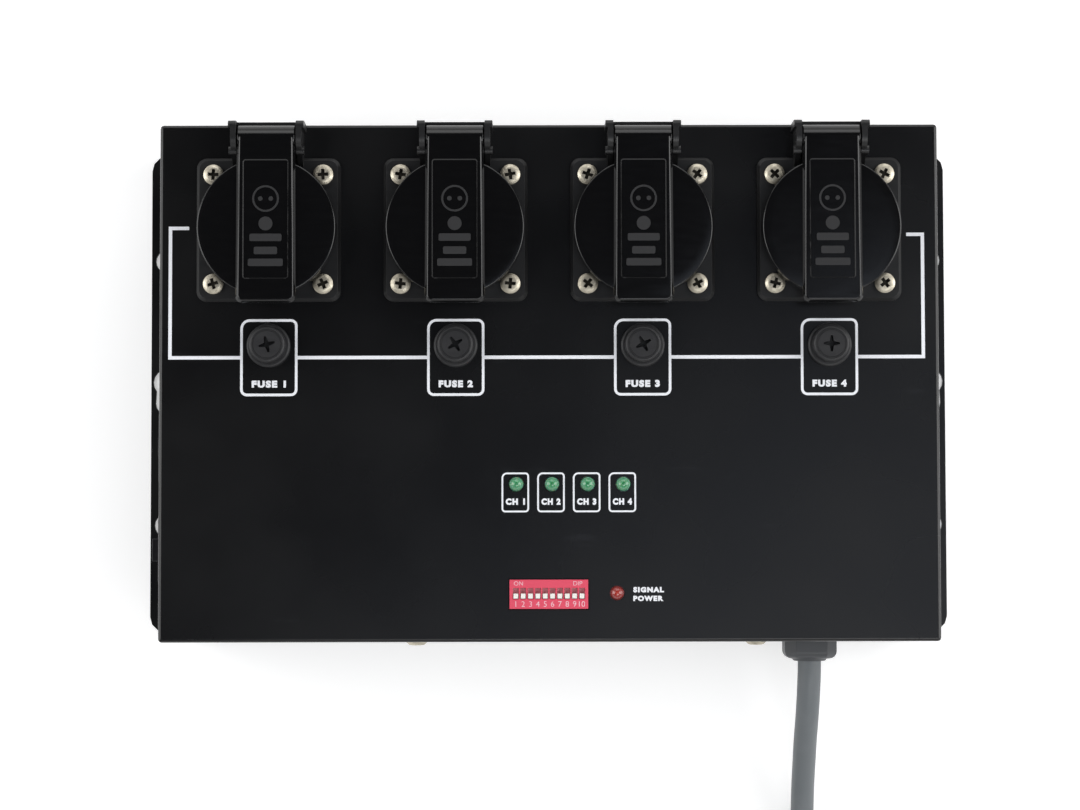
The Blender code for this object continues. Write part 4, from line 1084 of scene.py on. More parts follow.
# Frame below each socket, around its fuse
FUSE_FRAME = LabelFrame(
    size=(19.9 * MM, 26.8 * MM),
    line=0.9 * MM,
    corner=2.3 * MM,
    first_corner=3.3 * MM,
    middle=8.65 * MM,
    label_size=(11.9 * MM, 2.5 * MM),
    label_drop=9.2 * MM,
)
# Frame around each channel lamp
CHANNEL_FRAME = LabelFrame(
    size=(9.55 * MM, 13.8 * MM),
    line=0.6 * MM,
    corner=1.3 * MM,
    first_corner=1.9 * MM,
    middle=-38.28 * MM,
    label_size=(6.7 * MM, 2.3 * MM),
    label_drop=3.2 * MM,
    shift=-0.35 * MM,
)


@dataclass
class PanelPrint:
    """White screen print on the front panel: frames, the line that joins them, and plain labels."""

    panel: float
    line: float = 1.2 * MM
    left_end: Point = (-131.7 * MM, 53.2 * MM)
    right_end: Point = (130.0 * MM, 50.7 * MM)
    left_stub: float = 6.5 * MM
    right_stub: float = 5.6 * MM
    signal_left: float = 28.9 * MM
    signal_height: float = 1.9 * MM

    def bar(self, left: float, right: float, low: float, high: float) -> Shape:
        """Return a straight printed bar between two X and two Y values."""
        middle = ((left + right) / 2, (low + high) / 2)
        return block(right - left, high - low, 0, PRINT_THICKNESS, middle)

    def bus(self, fuses: Sequence[float]) -> list[Shape]:
        """Return the line that runs through the fuse frames and up to the outer sockets.

        Args:
            fuses: The fuses' X values.

        Returns:
            The line's bars.
        """
        half = self.line / 2
        reach = FUSE_FRAME.size[0] / 2
        y = FUSE_FRAME.middle
        ends = [self.left_end[0] - half]
        for x in fuses:
            ends += [x - reach, x + reach]
        ends.append(self.right_end[0] + half)
        bars = [self.bar(left, right, y - half, y + half) for left, right in zip(ends[::2], ends[1::2])]
        for (x, top), stub in ((self.left_end, self.left_stub), (self.right_end, -self.right_stub)):
            bars.append(self.bar(x - half, x + half, y + half, top))
            outer = x - math.copysign(half, stub)
            bars.append(self.bar(min(outer, x + stub), max(outer, x + stub), top, top + self.line))
        return bars

    def dress(self) -> None:
        """Print the panel."""
        lines = self.bus([centre_of(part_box(f"socket_frame_{number}")).x for number in range(1, 5)])
        words = []
        styles = ((FUSE_FRAME, "socket_frame", "FUSE"), (CHANNEL_FRAME, "channel_led", "CH"))
        for style, node, word in styles:
            for number in range(1, 5):
                x = centre_of(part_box(f"{node}_{number}")).x
                lines.append(style.outline(x))
                words.append(style.label(f"{word} {number}", x))
        for word, width, y in (("SIGNAL", 10.6 * MM, -72.0 * MM), ("POWER", 10.4 * MM, -75.0 * MM)):
            label = lettering(word, self.signal_height, width, PANEL_TYPE_WEIGHT, PANEL_TYPE_SPACING)
            words.append(placed(label, at(self.signal_left + width / 2, y)))
        surface = at(z=self.panel - HAIR)
        dressed("panel_lines", placed(joined(lines), surface), INK)
        dressed("panel_labels", placed(joined(words), surface), INK)


@dataclass
class SocketOutlet:
    """One panel socket: flange, collar, well with contacts and earth clips, and the ears for its lid."""

    number: int
    panel: float
    flange: float = 50 * MM
    flange_corner: float = 3.5 * MM
    flange_height: float = 2.8 * MM
    flange_slope: float = 1.0 * MM
    well_radius: float = 19.7 * MM
    well_depth: float = 17.5 * MM
    collar_wall: float = 1.5 * MM
    collar_height: float = 8.5 * MM
    collar_edge: float = 0.5 * MM
    barrel_radius: float = 21.5 * MM
    barrel_depth: float = 32 * MM
    contact_offset: float = 9.5 * MM
    contact_radius: float = 2.6 * MM
    contact_depth: float = 19 * MM
    clip_half_width: float = 2.4 * MM
    screw_pitch: float = 38 * MM
    screw_hole_radius: float = 1.5 * MM
    hinge_offset: float = 31 * MM
    hinge_rise: float = 9.5 * MM
    pin_radius: float = 1.4 * MM
    pin_edge: float = 0.3 * MM
    ear_inner: float = 10.3 * MM
    ear_thickness: float = 2.7 * MM
    ear_arm_share: float = 0.7
    ear_radius: float = 4.6 * MM
    ear_corner: float = 1.6 * MM
    ear_toe: float = 10 * MM
    ear_back: float = 5.6 * MM
    lip_depth: float = 2.6 * MM
    knob_radius: float = 1.5 * MM
    knob_rise: float = 0.6 * MM
    rear_thickness: float = 0.9 * MM
    rear_drop: float = 1.0 * MM

    def place(self) -> Matrix:
        """Return the matrix from the socket's own frame, on the panel, to the pack's frame."""
        pin = centre_of(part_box(f"hinge_pin_{self.number}"))
        return at(pin.x, pin.y - self.hinge_offset, self.panel)

    def ear(self, side: int) -> Shape:
        """Return a hinge ear: a thin arm with a thicker lip behind the pin and a thicker knob before it.

        Args:
            side: 1 for the right ear, -1 for the left one.

        Returns:
            The ear.
        """
        left = self.ear_inner if side > 0 else -self.ear_inner - self.ear_thickness
        right = left + self.ear_thickness
        thin = self.ear_arm_share * self.ear_thickness
        inner = left if side > 0 else right - thin
        toe = self.hinge_offset - self.ear_toe
        back = self.hinge_offset + self.ear_back
        top = self.hinge_rise + self.ear_radius
        turn = arc((back - self.ear_corner, top - self.ear_corner), self.ear_corner, 0, 90, 6)
        arm = [(toe, PLAY), (back, PLAY)] + turn
        arm += arc((self.hinge_offset, self.hinge_rise), self.ear_radius, 90, 140, 8)
        arm.append((toe, PLAY + self.flange_height))
        lip = [(back - self.lip_depth, PLAY), (back, PLAY)] + turn + [(back - self.lip_depth, top)]
        foot = (self.hinge_offset - self.ear_radius, self.hinge_rise + self.knob_rise)
        knob = arc(foot, self.knob_radius, 0, 360, 20)[:-1]
        shape = slab_x(arm, inner, inner + thin)
        return united(shape, slab_x(lip, left, right), slab_x(knob, left, right))

    def rear_wall(self) -> Shape:
        """Return the low wall that joins the ears behind the lid's barrel."""
        half = self.ear_inner + self.ear_thickness / 2
        back = self.hinge_offset + self.ear_back
        front = back - self.rear_thickness
        top = self.hinge_rise - self.rear_drop
        return slab_x([(front, PLAY), (back, PLAY), (back, top), (front, top)], -half, half)

    def body(self) -> Shape:
        """Return the moulded body with its openings."""
        high = PLAY + self.flange_height
        small = self.flange - 2 * self.flange_slope
        full = rounded(self.flange, self.flange, self.flange_corner)
        less = rounded(small, small, self.flange_corner - self.flange_slope / 2)
        flange = loft([(full, PLAY), (full, PLAY + self.flange_height / 2), (less, high)])
        collar = self.well_radius + self.collar_wall
        profile = [(0.0, self.collar_height)] + edge_round(collar, self.collar_height, self.collar_edge)
        profile += [(collar, high - PLAY), (self.barrel_radius, high - PLAY)]
        profile += [(self.barrel_radius, -self.barrel_depth), (0.0, -self.barrel_depth)]
        shape = united(flange, lathe(profile, 96), self.ear(-1), self.ear(1), self.rear_wall())
        floor = self.collar_height - self.well_depth
        over = 4 * high
        openings = [lathe([(0, over), (self.well_radius, over), (self.well_radius, floor), (0, floor)], 96)]
        half = self.screw_pitch / 2
        for x in (-half, half):
            for y in (-half, half):
                openings.append(pillar(self.screw_hole_radius, 0, 2 * high, 12, (x, y)))
        axle = slab_x(circle(self.pin_radius + PLAY, 24), -self.flange, self.flange)
        openings.append(placed(axle, at(0, self.hinge_offset, self.hinge_rise)))
        shape = combined(shape, joined(openings), Operation.CUT)
        holes = []
        for side in (-1, 1):
            place = (side * self.contact_offset, 0)
            holes.append(pillar(self.contact_radius, floor - self.contact_depth, floor + PLAY, 32, place))
        return combined(shape, joined(holes), Operation.CUT)

    def earth_clips(self) -> Shape:
        """Return the two earth clips: sheet bent in from the well's upper and lower side and back."""
        floor = self.collar_height - self.well_depth
        wall = self.well_radius - PLAY
        section = [(0, floor), (0, 4 * MM), (1.2 * MM, 5 * MM), (2.6 * MM, -1 * MM), (1.6 * MM, floor)]
        section += [(0.9 * MM, floor), (1.9 * MM, -1 * MM), (1.0 * MM, 3.6 * MM), (0.7 * MM, 3 * MM)]
        section.append((0.7 * MM, floor))
        clips = []
        for side in (-1, 1):
            outline = [(side * (wall - inset), height) for inset, height in section]
            clip = slab_x(outline, -self.clip_half_width, self.clip_half_width)
            bmesh.ops.recalc_face_normals(clip, faces=clip.faces)
            clips.append(clip)
        return joined(clips)

    def screws(self) -> Shape:
        """Return the four cross-recess screws of the flange."""
        half = self.screw_pitch / 2
        height = PLAY + self.flange_height
        up = Vector((0, 0, 1))
        seats = [(Vector((x, y, height)), up) for x in (-half, half) for y in (-half, half)]
        return SOCKET_SCREW.build(seats, NICKEL, self.number)

    def hinge_pin(self) -> Shape:
        """Return the pin that the lid turns on, flush with the ears' arms."""
        half = self.ear_inner + self.ear_arm_share * self.ear_thickness
        pin = rod(self.pin_radius, half, self.pin_edge, 24)
        return placed(pin, at(0, self.hinge_offset, self.hinge_rise))

    def dress(self) -> None:
        """Build and dress the socket."""
        place = self.place()
        number = self.number
        nodes = [f"socket_frame_{number}"]
        dressed(f"outlet_body_{number}", placed(self.body(), place), FLANGE_BLACK, CASE, nodes, 0.2 * MM)
        dressed(f"outlet_screws_{number}", placed(self.screws(), place), NICKEL, accent=RECESS_SHADE)
        dressed(f"outlet_clips_{number}", placed(self.earth_clips(), place), STEEL)
        nodes = [f"hinge_pin_{number}"]
        dressed(f"outlet_hinge_pin_{number}", placed(self.hinge_pin(), place), PIN_BLACK, CASE, nodes)


@dataclass(frozen=True)
class LidMarks:
    """Plain raised marks on a lid: an outlet symbol, and below it a dot and three bars."""

    height: float = 0.25 * MM
    symbol_drop: float = 13.2 * MM
    symbol_radius: float = 4.6 * MM
    symbol_line: float = 0.7 * MM
    eye_radius: float = 0.8 * MM
    eye_offset: float = 1.8 * MM
    dot_radius: float = 2.4 * MM
    dot_drop: float = 8.6 * MM
    bar_height: float = 2.6 * MM
    bar_corner: float = 0.5 * MM
    bars: tuple[Point, ...] = ((13.4 * MM, 11.0 * MM), (17.9 * MM, 8.0 * MM), (22.0 * MM, 12.0 * MM))

    def build(self, top: float, low: float) -> Shape:
        """Return the marks; each bar has its drop below the symbol and its width.

        Args:
            top: Y value of the recess's upper end.
            low: Height that the marks stand on.

        Returns:
            All the marks as one shape.
        """
        high = low + self.height
        middle = top - self.symbol_drop
        ring = band(circle(self.symbol_radius), circle(self.symbol_radius - self.symbol_line), low, high)
        marks = [placed(ring, at(0, middle))]
        for side in (-1, 1):
            marks.append(pillar(self.eye_radius, low, high, 24, (side * self.eye_offset, middle)))
        marks.append(pillar(self.dot_radius, low, high, 32, (0, middle - self.dot_drop)))
        for drop, width in self.bars:
            outline = rounded(width, self.bar_height, self.bar_corner, steps=2)
            marks.append(placed(slab(outline, low, high), at(0, middle - drop)))
        return joined(marks)


@dataclass
class SocketLid:
    """One sprung lid: domed disc, raised strap with a framed recess, barrel and gasket."""

    number: int
    centre: float = -31 * MM
    radius: float = 23.9 * MM
    top: float = 2.5 * MM
    wall: float = 1.3 * MM
    skirt: float = 6.5 * MM
    rim_start: float = 3.6 * MM
    rim_end: float = 1.6 * MM
    rim_fall: float = 0.06 * MM
    rim_edge: float = 0.55 * MM
    strap_width: float = 20 * MM
    strap_flare: float = 0.35 * MM
    strap_corner: float = 2.2 * MM
    strap_rise: float = 1.8 * MM
    strap_foot: float = 0.4 * MM
    strap_slope: float = 1.25 * MM
    shoulder_drop: float = 0.3 * MM
    shoulder_share: float = 0.6
    overhang: float = 2.4 * MM
    barrel_radius: float = 4.3 * MM
    barrel_edge: float = 0.5 * MM
    recess: Point = (15.0 * MM, 40.5 * MM)
    recess_start: float = 8.3 * MM
    recess_depth: float = 0.5 * MM
    recess_edge: float = 0.35 * MM
    recess_corner: float = 0.6 * MM
    mark_sink: float = 0.05 * MM
    axle_radius: float = 1.7 * MM
    gasket_section: tuple[Point, ...] = (
        (21.6 * MM, 0.0),
        (21.6 * MM, 1.4 * MM),
        (20.9 * MM, 1.8 * MM),
        (19.9 * MM, 1.8 * MM),
        (19.4 * MM, 1.4 * MM),
        (19.4 * MM, 0.0),
    )

    def strap_outline(self, inset: float) -> list[Point]:
        """Return the strap's outline, drawn in by an inset on its free sides."""
        corner = self.strap_corner - inset / 2
        top = self.strap_width / 2 - inset
        half = top + self.strap_flare
        low = self.centre - self.radius - self.overhang + inset
        outline = [(top, 0.0), (-top, 0.0)]
        outline += arc((-half + corner, low + corner), corner, 180, 270, 6)
        outline += arc((half - corner, low + corner), corner, 270, 360, 6)
        return outline

    def marks(self) -> Shape:
        """Return the marks, set into the recess's floor."""
        floor = self.top + self.strap_rise - self.recess_depth
        return LidMarks().build(-self.recess_start, floor - self.mark_sink)

    def disc(self) -> Shape:
        """Return the domed disc with its skirt."""
        high = self.top
        inner = self.radius - self.wall
        profile = [(0.0, high), (self.radius - self.rim_start, high)]
        profile.append((self.radius - self.rim_end, high - self.rim_fall))
        profile += edge_round(self.radius, high - 2 * self.rim_fall, self.rim_edge, 5)
        profile += [(self.radius, high - self.skirt), (inner, high - self.skirt)]
        profile += [(inner, high - self.wall), (0.0, high - self.wall)]
        return placed(lathe(profile, 128), at(0, self.centre))

    def body(self) -> Shape:
        """Return the lid about its hinge axis."""
        strap_top = self.top + self.strap_rise
        full = self.strap_outline(0.0)
        shoulder = self.strap_outline(self.strap_slope * self.shoulder_share)
        layers = [(full, self.top - self.wall / 2), (full, self.top + self.strap_foot)]
        layers.append((shoulder, strap_top - self.shoulder_drop))
        layers.append((self.strap_outline(self.strap_slope), strap_top))
        barrel = rod(self.barrel_radius, self.strap_width / 2, self.barrel_edge, 48)
        shape = united(self.disc(), loft(layers), barrel)
        width, length = self.recess
        edge = self.recess_edge
        outline = rounded(width, length, self.recess_corner, steps=3)
        wider = rounded(width + 4 * edge, length + 4 * edge, self.recess_corner + 2 * edge, steps=3)
        floor = strap_top - self.recess_depth
        layers = [(outline, floor), (outline, strap_top - edge), (wider, strap_top + edge)]
        pocket = placed(loft(layers), at(0, -self.recess_start - length / 2))
        axle = slab_x(circle(self.axle_radius, 24), -self.strap_width, self.strap_width)
        return combined(combined(shape, pocket, Operation.CUT), axle, Operation.CUT)

    def gasket(self) -> Shape:
        """Return the sealing ring under the disc, from its section's radii and drops."""
        high = self.top - self.wall
        profile = [(radius, high - drop) for radius, drop in self.gasket_section]
        return placed(lathe(profile, 96), at(0, self.centre))

    def dress(self) -> None:
        """Build and dress the lid."""
        number = self.number
        place = Matrix.Translation(centre_of(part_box(f"hinge_pin_{number}")))
        body = f"lid_{number}"
        nodes = [f"socket_lid_{number}"]
        dressed(f"outlet_lid_{number}", placed(self.body(), place), SOCKET_BLACK, body, nodes)
        dressed(f"outlet_lid_marks_{number}", placed(self.marks(), place), MARK_BLACK, body, bevel=0.06 * MM)
        dressed(f"outlet_gasket_{number}", placed(self.gasket(), place), GASKET, body)


@dataclass
class FuseCarrier:
    """One panel fuse holder with its screw-driver cap and glass fuse."""

    number: int
    panel: float
    turn: float
    ring_radius: float = 7.6 * MM
    ring_height: float = 2.2 * MM
    ring_edge: float = 0.8 * MM
    body_radius: float = 6.2 * MM
    nut_radius: float = 8.4 * MM
    nut_height: float = 3 * MM
    nut_drop: float = 1.5 * MM
    bore_play: float = 0.4 * MM
    cap_radius: float = 6.3 * MM
    cap_height: float = 5.2 * MM
    cap_edge: float = 0.9 * MM
    groove_depth: float = 0.25 * MM
    groove_insets: tuple[float, ...] = (1.7 * MM, 1.5 * MM, 1.2 * MM, 1.0 * MM)
    stem_radius: float = 4.7 * MM
    stem_length: float = 13 * MM
    grip_depth: float = 5.5 * MM
    cross_length: float = 5.6 * MM
    cross_width: float = 1.5 * MM
    cross_depth: float = 3.4 * MM
    cross_taper: float = 0.45
    fuse_radius: float = 2.6 * MM
    fuse_length: float = 20 * MM
    end_cap: float = 5 * MM
    end_cap_wall: float = 0.1 * MM
    end_cap_floor: float = 0.4 * MM
    glass_wall: float = 0.6 * MM
    glass_inset: float = 0.5 * MM
    wire_radius: float = 0.12 * MM

    def holder(self) -> Shape:
        """Return the holder's ring, body and nut with its bore."""
        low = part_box(f"fuse_holder_{self.number}")[0].z - self.panel
        bore_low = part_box(f"fuse_link_{self.number}")[0].z - self.panel - PLAY
        ring_top = PLAY + self.ring_height
        body = self.body_radius
        nut = self.nut_radius
        nut_top = -self.nut_drop
        nut_low = nut_top - self.nut_height
        profile = edge_round(self.ring_radius, ring_top, self.ring_edge)
        profile += [(self.ring_radius, PLAY), (body, PLAY), (body, nut_top), (nut, nut_top), (nut, nut_low)]
        profile += [(body, nut_low), (body, low), (0, low)]
        bore = self.fuse_radius + self.bore_play
        stem_bore = self.stem_radius + self.bore_play
        stem_floor = ring_top - self.stem_length
        profile += [(0, bore_low), (bore, bore_low), (bore, stem_floor), (stem_bore, stem_floor)]
        profile.append((stem_bore, ring_top))
        return lathe(profile, 64)

    def cap(self) -> Shape:
        """Return the cap with its cross recess, rim groove and stem."""
        seat = 2 * PLAY + self.ring_height
        top = seat + self.cap_height
        rim = self.cap_radius
        depths = (0.0, self.groove_depth, self.groove_depth, 0.0)
        profile = [(0.0, top)]
        profile += [(rim - inset, top - depth) for inset, depth in zip(self.groove_insets, depths)]
        profile += edge_round(rim, top, self.cap_edge, 5)[1:]
        grip = self.fuse_radius + self.bore_play
        stem_low = seat - self.stem_length
        profile += [(rim, seat), (self.stem_radius, seat), (self.stem_radius, stem_low), (grip, stem_low)]
        profile += [(grip, stem_low + self.grip_depth), (0.0, stem_low + self.grip_depth)]
        return combined(lathe(profile, 64), self.cross(top), Operation.CUT)

    def cross(self, top: float) -> Shape:
        """Return the cutter for the cap's cross, whose arms narrow outwards."""
        reach = self.cross_length / 2
        half = self.cross_width / 2
        narrow = self.cross_taper * half
        star = []
        for angle in range(0, 360, 90):
            turned = Matrix.Rotation(math.radians(angle), 2)
            for corner in ((reach, -narrow), (reach, narrow), (half, half)):
                star.append(tuple(turned @ Vector(corner)))
        cutter = slab(star, top - self.cross_depth, top + 1 * MM)
        return placed(cutter, Matrix.Rotation(math.radians(self.turn), 4, "Z"))

    def glass(self) -> Shape:
        """Return the fuse's glass tube, as a hollow wall that its end caps close."""
        outer = self.fuse_radius - self.end_cap_wall
        inner = outer - self.glass_wall
        half = self.fuse_length / 2 - self.glass_inset
        return lathe([(outer, half), (outer, -half), (inner, -half), (inner, half)], 32)

    def metal(self) -> Shape:
        """Return the fuse's two end caps and its wire."""
        half = self.fuse_length / 2
        inner = self.fuse_radius - self.end_cap_wall
        parts = [pillar(self.wire_radius, PLAY - half, half - PLAY, 8)]
        for turn in (math.pi, 0.0):
            profile = [(0, half)] + edge_round(self.fuse_radius, half, self.end_cap_floor)
            profile += [(self.fuse_radius, half - self.end_cap), (inner, half - self.end_cap)]
            profile += [(inner, half - self.end_cap_floor), (0, half - self.end_cap_floor)]
            parts.append(placed(lathe(profile, 32), Matrix.Rotation(turn, 4, "X")))
        return joined(parts)

    def dress(self) -> None:
        """Build and dress the holder, the cap and the fuse."""
        number = self.number
        middle = centre_of(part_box(f"fuse_cap_{number}"))
        place = at(middle.x, middle.y, self.panel)
        nodes = [f"fuse_holder_{number}"]
        dressed(f"fuse_socket_{number}", placed(self.holder(), place), PHENOLIC, CASE, nodes)
        nodes = [f"fuse_cap_{number}"]
        dressed(f"fuse_knob_{number}", placed(self.cap(), place), PHENOLIC, f"cap_{number}", nodes)
        nodes = [f"fuse_link_{number}"]
        body = f"fuse_{number}"
        inside = Matrix.Translation(centre_of(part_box(nodes[0])))
        dressed(f"fuse_glass_{number}", placed(self.glass(), inside), FUSE_GLASS, body, nodes)
        dressed(f"fuse_metal_{number}", placed(self.metal(), inside), NICKEL, body)


@dataclass
class Lamp:
    """One round-topped 5 mm lamp that looks through the panel."""

    node: str
    finish: Finish
    panel: float
    radius: float = 2.5 * MM
    rise: float = 2.6 * MM
    foot_radius: float = 2.9 * MM
    foot_drop: float = 1.5 * MM

    def dress(self) -> None:
        """Build and dress the lamp, and store each point's distance from its axis for the resin's painted
        shade and highlight.
        """
        middle = centre_of(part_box(self.node))
        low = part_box(self.node)[0].z - self.panel
        profile = arc((0, self.rise - self.radius), self.radius, 90, 0, 10)
        profile += [(self.radius, -self.foot_drop), (self.foot_radius, -self.foot_drop)]
        profile += [(self.foot_radius, low), (0, low)]
        shape = placed(lathe(profile, 48), at(middle.x, middle.y, self.panel))
        item = dressed(f"{self.node}_resin", shape, self.finish, CASE, [self.node])
        across = item.data.attributes.new("across", "FLOAT", "POINT")
        for value, vertex in zip(across.data, item.data.vertices):
            value.value = min(1.0, math.hypot(vertex.co.x - middle.x, vertex.co.y - middle.y) / self.radius)


@dataclass
class AddressSwitch:
    """Ten-way slide switch with its levers, painted shade in its slots and pad-printed words and numbers."""

    panel: float
    rise: float = 1.0 * MM
    body_edge: float = 0.15 * MM
    lever_edge: float = 0.08 * MM
    slot: Point = (1.9 * MM, 3.7 * MM)
    slot_shift: float = 0.25 * MM
    slot_depth: float = 1.8 * MM
    # Thickness of the sheets of painted shade on the slots' floors
    shade_sheet: float = 0.15 * MM
    type_weight: float = -0.01
    number_height: float = 1.9 * MM
    number_drop: float = 3.35 * MM
    word_height: float = 1.45 * MM
    word_rise: float = 3.75 * MM

    def dress(self) -> None:
        """Dress the body and the levers, lay sheets of painted shade in the slots and print the words and
        numbers.
        """
        refined("dip_body", SWITCH_RED, self.body_edge)
        middle = centre_of(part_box("dip_body"))
        floor = self.panel + self.rise - self.slot_depth
        shade_sheets = []
        labels = []
        for number in range(1, 11):
            refined(f"dip_lever_{number}", SWITCH_WHITE, self.lever_edge)
            x = centre_of(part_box(f"dip_lever_{number}")).x
            shade_sheets.append(block(*self.slot, floor, floor + self.shade_sheet, (x, middle.y + self.slot_shift)))
            label = lettering(str(number), self.number_height, weight=self.type_weight)
            labels.append(placed(label, at(x, middle.y - self.number_drop)))
        for word, shift in (("ON", -10.5 * MM), ("DIP", 10.0 * MM)):
            label = lettering(word, self.word_height, weight=self.type_weight)
            labels.append(placed(label, at(middle.x + shift, middle.y + self.word_rise)))
        surface = at(z=self.panel + self.rise - HAIR)
        dressed("dip_slot_shade_sheets", joined(shade_sheets), SLOT_RED)
        dressed("dip_numbers", placed(joined(labels), surface), PAD_INK)


@dataclass
class SignalConnector:
    """One three-pole round connector in the left wall, for plugs with pins or for plugs with holes."""

    node: str
    is_input: bool
    flange: Point = (31 * MM, 26 * MM)
    flange_height: float = 2.4 * MM
    flange_slope: float = 0.6 * MM
    corner: float = 3.0 * MM
    body_radius: float = 11.8 * MM
    body_depth: float = 20 * MM
    nose_rise: float = 0.6 * MM
    nose_edge: float = 0.5 * MM
    cavity_radius: float = 9.6 * MM
    cavity_depth: float = 14.5 * MM
    key: Point = (1.6 * MM, 2.0 * MM)
    key_sink: float = 0.5 * MM
    key_drop: float = 1 * MM
    insert_radius: float = 8.1 * MM
    contact_circle: float = 4.4 * MM
    contact_radius: float = 1.2 * MM
    contact_drop: float = 1.5 * MM
    contact_edge: float = 0.7 * MM
    contact_root: float = 0.2 * MM
    hole_radius: float = 1.5 * MM
    sleeve_radii: Point = (1.45 * MM, 1.1 * MM)
    sleeve_drop: float = 1.2 * MM
    screw_place: Point = (12.2 * MM, 9.6 * MM)
    screw_play: float = 0.15 * MM
    screw_sink: float = 1.5 * MM
    latch_offset: float = 12.7 * MM
    latch_slot: Point = (3.44 * MM, 8.44 * MM)
    latch_wall: float = 1 * MM
    latch_housing_depth: float = 9.9 * MM

    def place(self) -> Matrix:
        """Return the matrix that points the connector's own Z out of the left wall and its X up."""
        middle = centre_of(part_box(self.node))
        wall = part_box("cover")[0].x
        return at(wall, middle.y, middle.z) @ Matrix.Rotation(-math.pi / 2, 4, "Y")

    def face(self) -> float:
        """Return the height of the flange's face over the wall."""
        return PLAY + self.flange_height

    def floor(self) -> float:
        """Return the height of the cavity's floor."""
        return self.face() - self.cavity_depth

    def contacts(self) -> list[Point]:
        """Return the three contacts' places around the axis."""
        side = 1 if self.is_input else -1
        places = [arc((0, 0), self.contact_circle, angle, angle, 1)[0] for angle in (45, -45, 180)]
        return [(side * x, y) for x, y in places]

    def screw_places(self) -> list[Point]:
        """Return the places of the flange's two screws, in opposite corners."""
        x, y = self.screw_place
        return [(side * x, -side * y) for side in (-1, 1)]

    def outside(self) -> Shape:
        """Return the flange with its nose and barrel, and the pockets of the sunk screws."""
        face = self.face()
        nose = face + self.nose_rise
        slope = self.flange_slope
        full = rounded(*self.flange, self.corner)
        less = rounded(self.flange[0] - 2 * slope, self.flange[1] - 2 * slope, self.corner - slope / 2)
        flange = loft([(full, PLAY), (full, face - slope), (less, face)])
        profile = [(0.0, nose)] + edge_round(self.body_radius, nose, self.nose_edge)
        profile += [(self.body_radius, -self.body_depth), (0.0, -self.body_depth)]
        radius = SIGNAL_SCREW.head_radius + self.screw_play
        sinks = [pillar(radius, face - self.screw_sink, face, 24, place) for place in self.screw_places()]
        shape = united(flange, lathe(profile, 72))
        return combined(shape, placed(joined(sinks), at(z=HAIR)), Operation.CUT)

    def shell(self) -> Shape:
        """Return the connector's body with the cavity that its kind has."""
        floor = self.floor()
        rim = self.face() - self.key_drop
        over = self.face() + 2 * MM
        cavity = self.cavity_radius
        shape = self.outside()
        if self.is_input:
            opening = lathe([(0, over), (cavity, over), (cavity, floor), (0, floor)], 72)
            shape = combined(shape, opening, Operation.CUT)
            return united(shape, block(*self.key, floor - PLAY, rim, (cavity - self.key_sink, 0)))
        offset = (self.latch_offset, 0)
        housing = [side + 2 * self.latch_wall for side in self.latch_slot]
        shape = united(shape, block(*housing, -self.latch_housing_depth, rim, offset))
        ring = [(cavity, over), (cavity, floor), (self.insert_radius, floor), (self.insert_radius, over)]
        slot = block(*self.latch_slot, self.latch_wall - self.latch_housing_depth, over, offset)
        holes = [pillar(self.hole_radius, floor, over, 24, place) for place in self.contacts()]
        return combined(shape, joined([lathe(ring, 72), slot] + holes), Operation.CUT)

    def contact(self) -> Shape:
        """Return one contact: a round-tipped pin, or the sleeve inside a hole."""
        floor = self.floor()
        if self.is_input:
            tip = self.face() - self.contact_drop
            root = floor - self.contact_root
            profile = [(0.0, tip)] + edge_round(self.contact_radius, tip, self.contact_edge)
            return lathe(profile + [(self.contact_radius, root), (0.0, root)], 24)
        outer, inner = (circle(radius, 24) for radius in self.sleeve_radii)
        return band(outer, inner, floor, self.face() - self.sleeve_drop)

    def screws(self) -> Shape:
        """Return the flange's screws, sunk until their heads lie flush."""
        low = self.face() - self.screw_sink
        seats = [(Vector((x, y, low)), Vector((0, 0, 1))) for x, y in self.screw_places()]
        return SIGNAL_SCREW.build(seats, BLACK_STEEL)

    def dress(self) -> None:
        """Build and dress the connector."""
        place = self.place()
        pins = joined([placed(self.contact(), at(*spot)) for spot in self.contacts()])
        dressed(f"{self.node}_shell", placed(self.shell(), place), SHELL, CASE, [self.node])
        dressed(f"{self.node}_contacts", placed(pins, place), GOLD)
        dressed(f"{self.node}_screws", placed(self.screws(), place), BLACK_STEEL, accent=RECESS_SHADE)


@dataclass
class Electronics:
    """Boards, relays and transformer inside the case."""

    board_sheet: float = 1.6 * MM
    post_radius: float = 2.8 * MM
    post_inset: float = 4.5 * MM

    def dress(self) -> None:
        """Dress what the case holds."""
        low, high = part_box("control_board")
        middle = centre_of((low, high))
        length, width, _ = high - low
        sheet_top = low.z + self.board_sheet
        board = block(length, width, low.z, sheet_top, (middle.x, middle.y))
        posts = []
        for side in (-1, 1):
            for end in (-1, 1):
                x = middle.x + side * (length / 2 - self.post_inset)
                y = middle.y + end * (width / 2 - self.post_inset)
                posts.append(pillar(self.post_radius, sheet_top, high.z, 24, (x, y)))
        dressed("control_board_laminate", board, LAMINATE, CASE, ["control_board"])
        dressed("control_board_posts", joined(posts), STEEL)
        refined("relay_board", LAMINATE)
        for number in range(1, 5):
            refined(f"relay_{number}", RELAY_BLUE)
        refined("transformer", CORE)


def smooth_share(value: float) -> float:
    """Return 0 below 0, 1 above 1, and a smooth step between them."""
    share = min(max(value, 0.0), 1.0)
    return share * share * (3 - 2 * share)


def smooth_route(knots: Sequence[Vector], pieces: int = 5) -> list[Vector]:
    """Return points on a smooth curve through knots.

    Args:
        knots: Points that the curve passes.
        pieces: Points on each stretch between two knots.

    Returns:
        The curve's points, the first and last knot among them.
    """
    points = [knots[0]]
    for index in range(len(knots) - 1):
        start = knots[index]
        end = knots[index + 1]
        before = knots[max(index - 1, 0)]
        after = knots[min(index + 2, len(knots) - 1)]
        first = start + (end - before) / 6
        second = end - (after - start) / 6
        points += interpolate_bezier(start, first, second, end, pieces + 1)[1:]
    return points


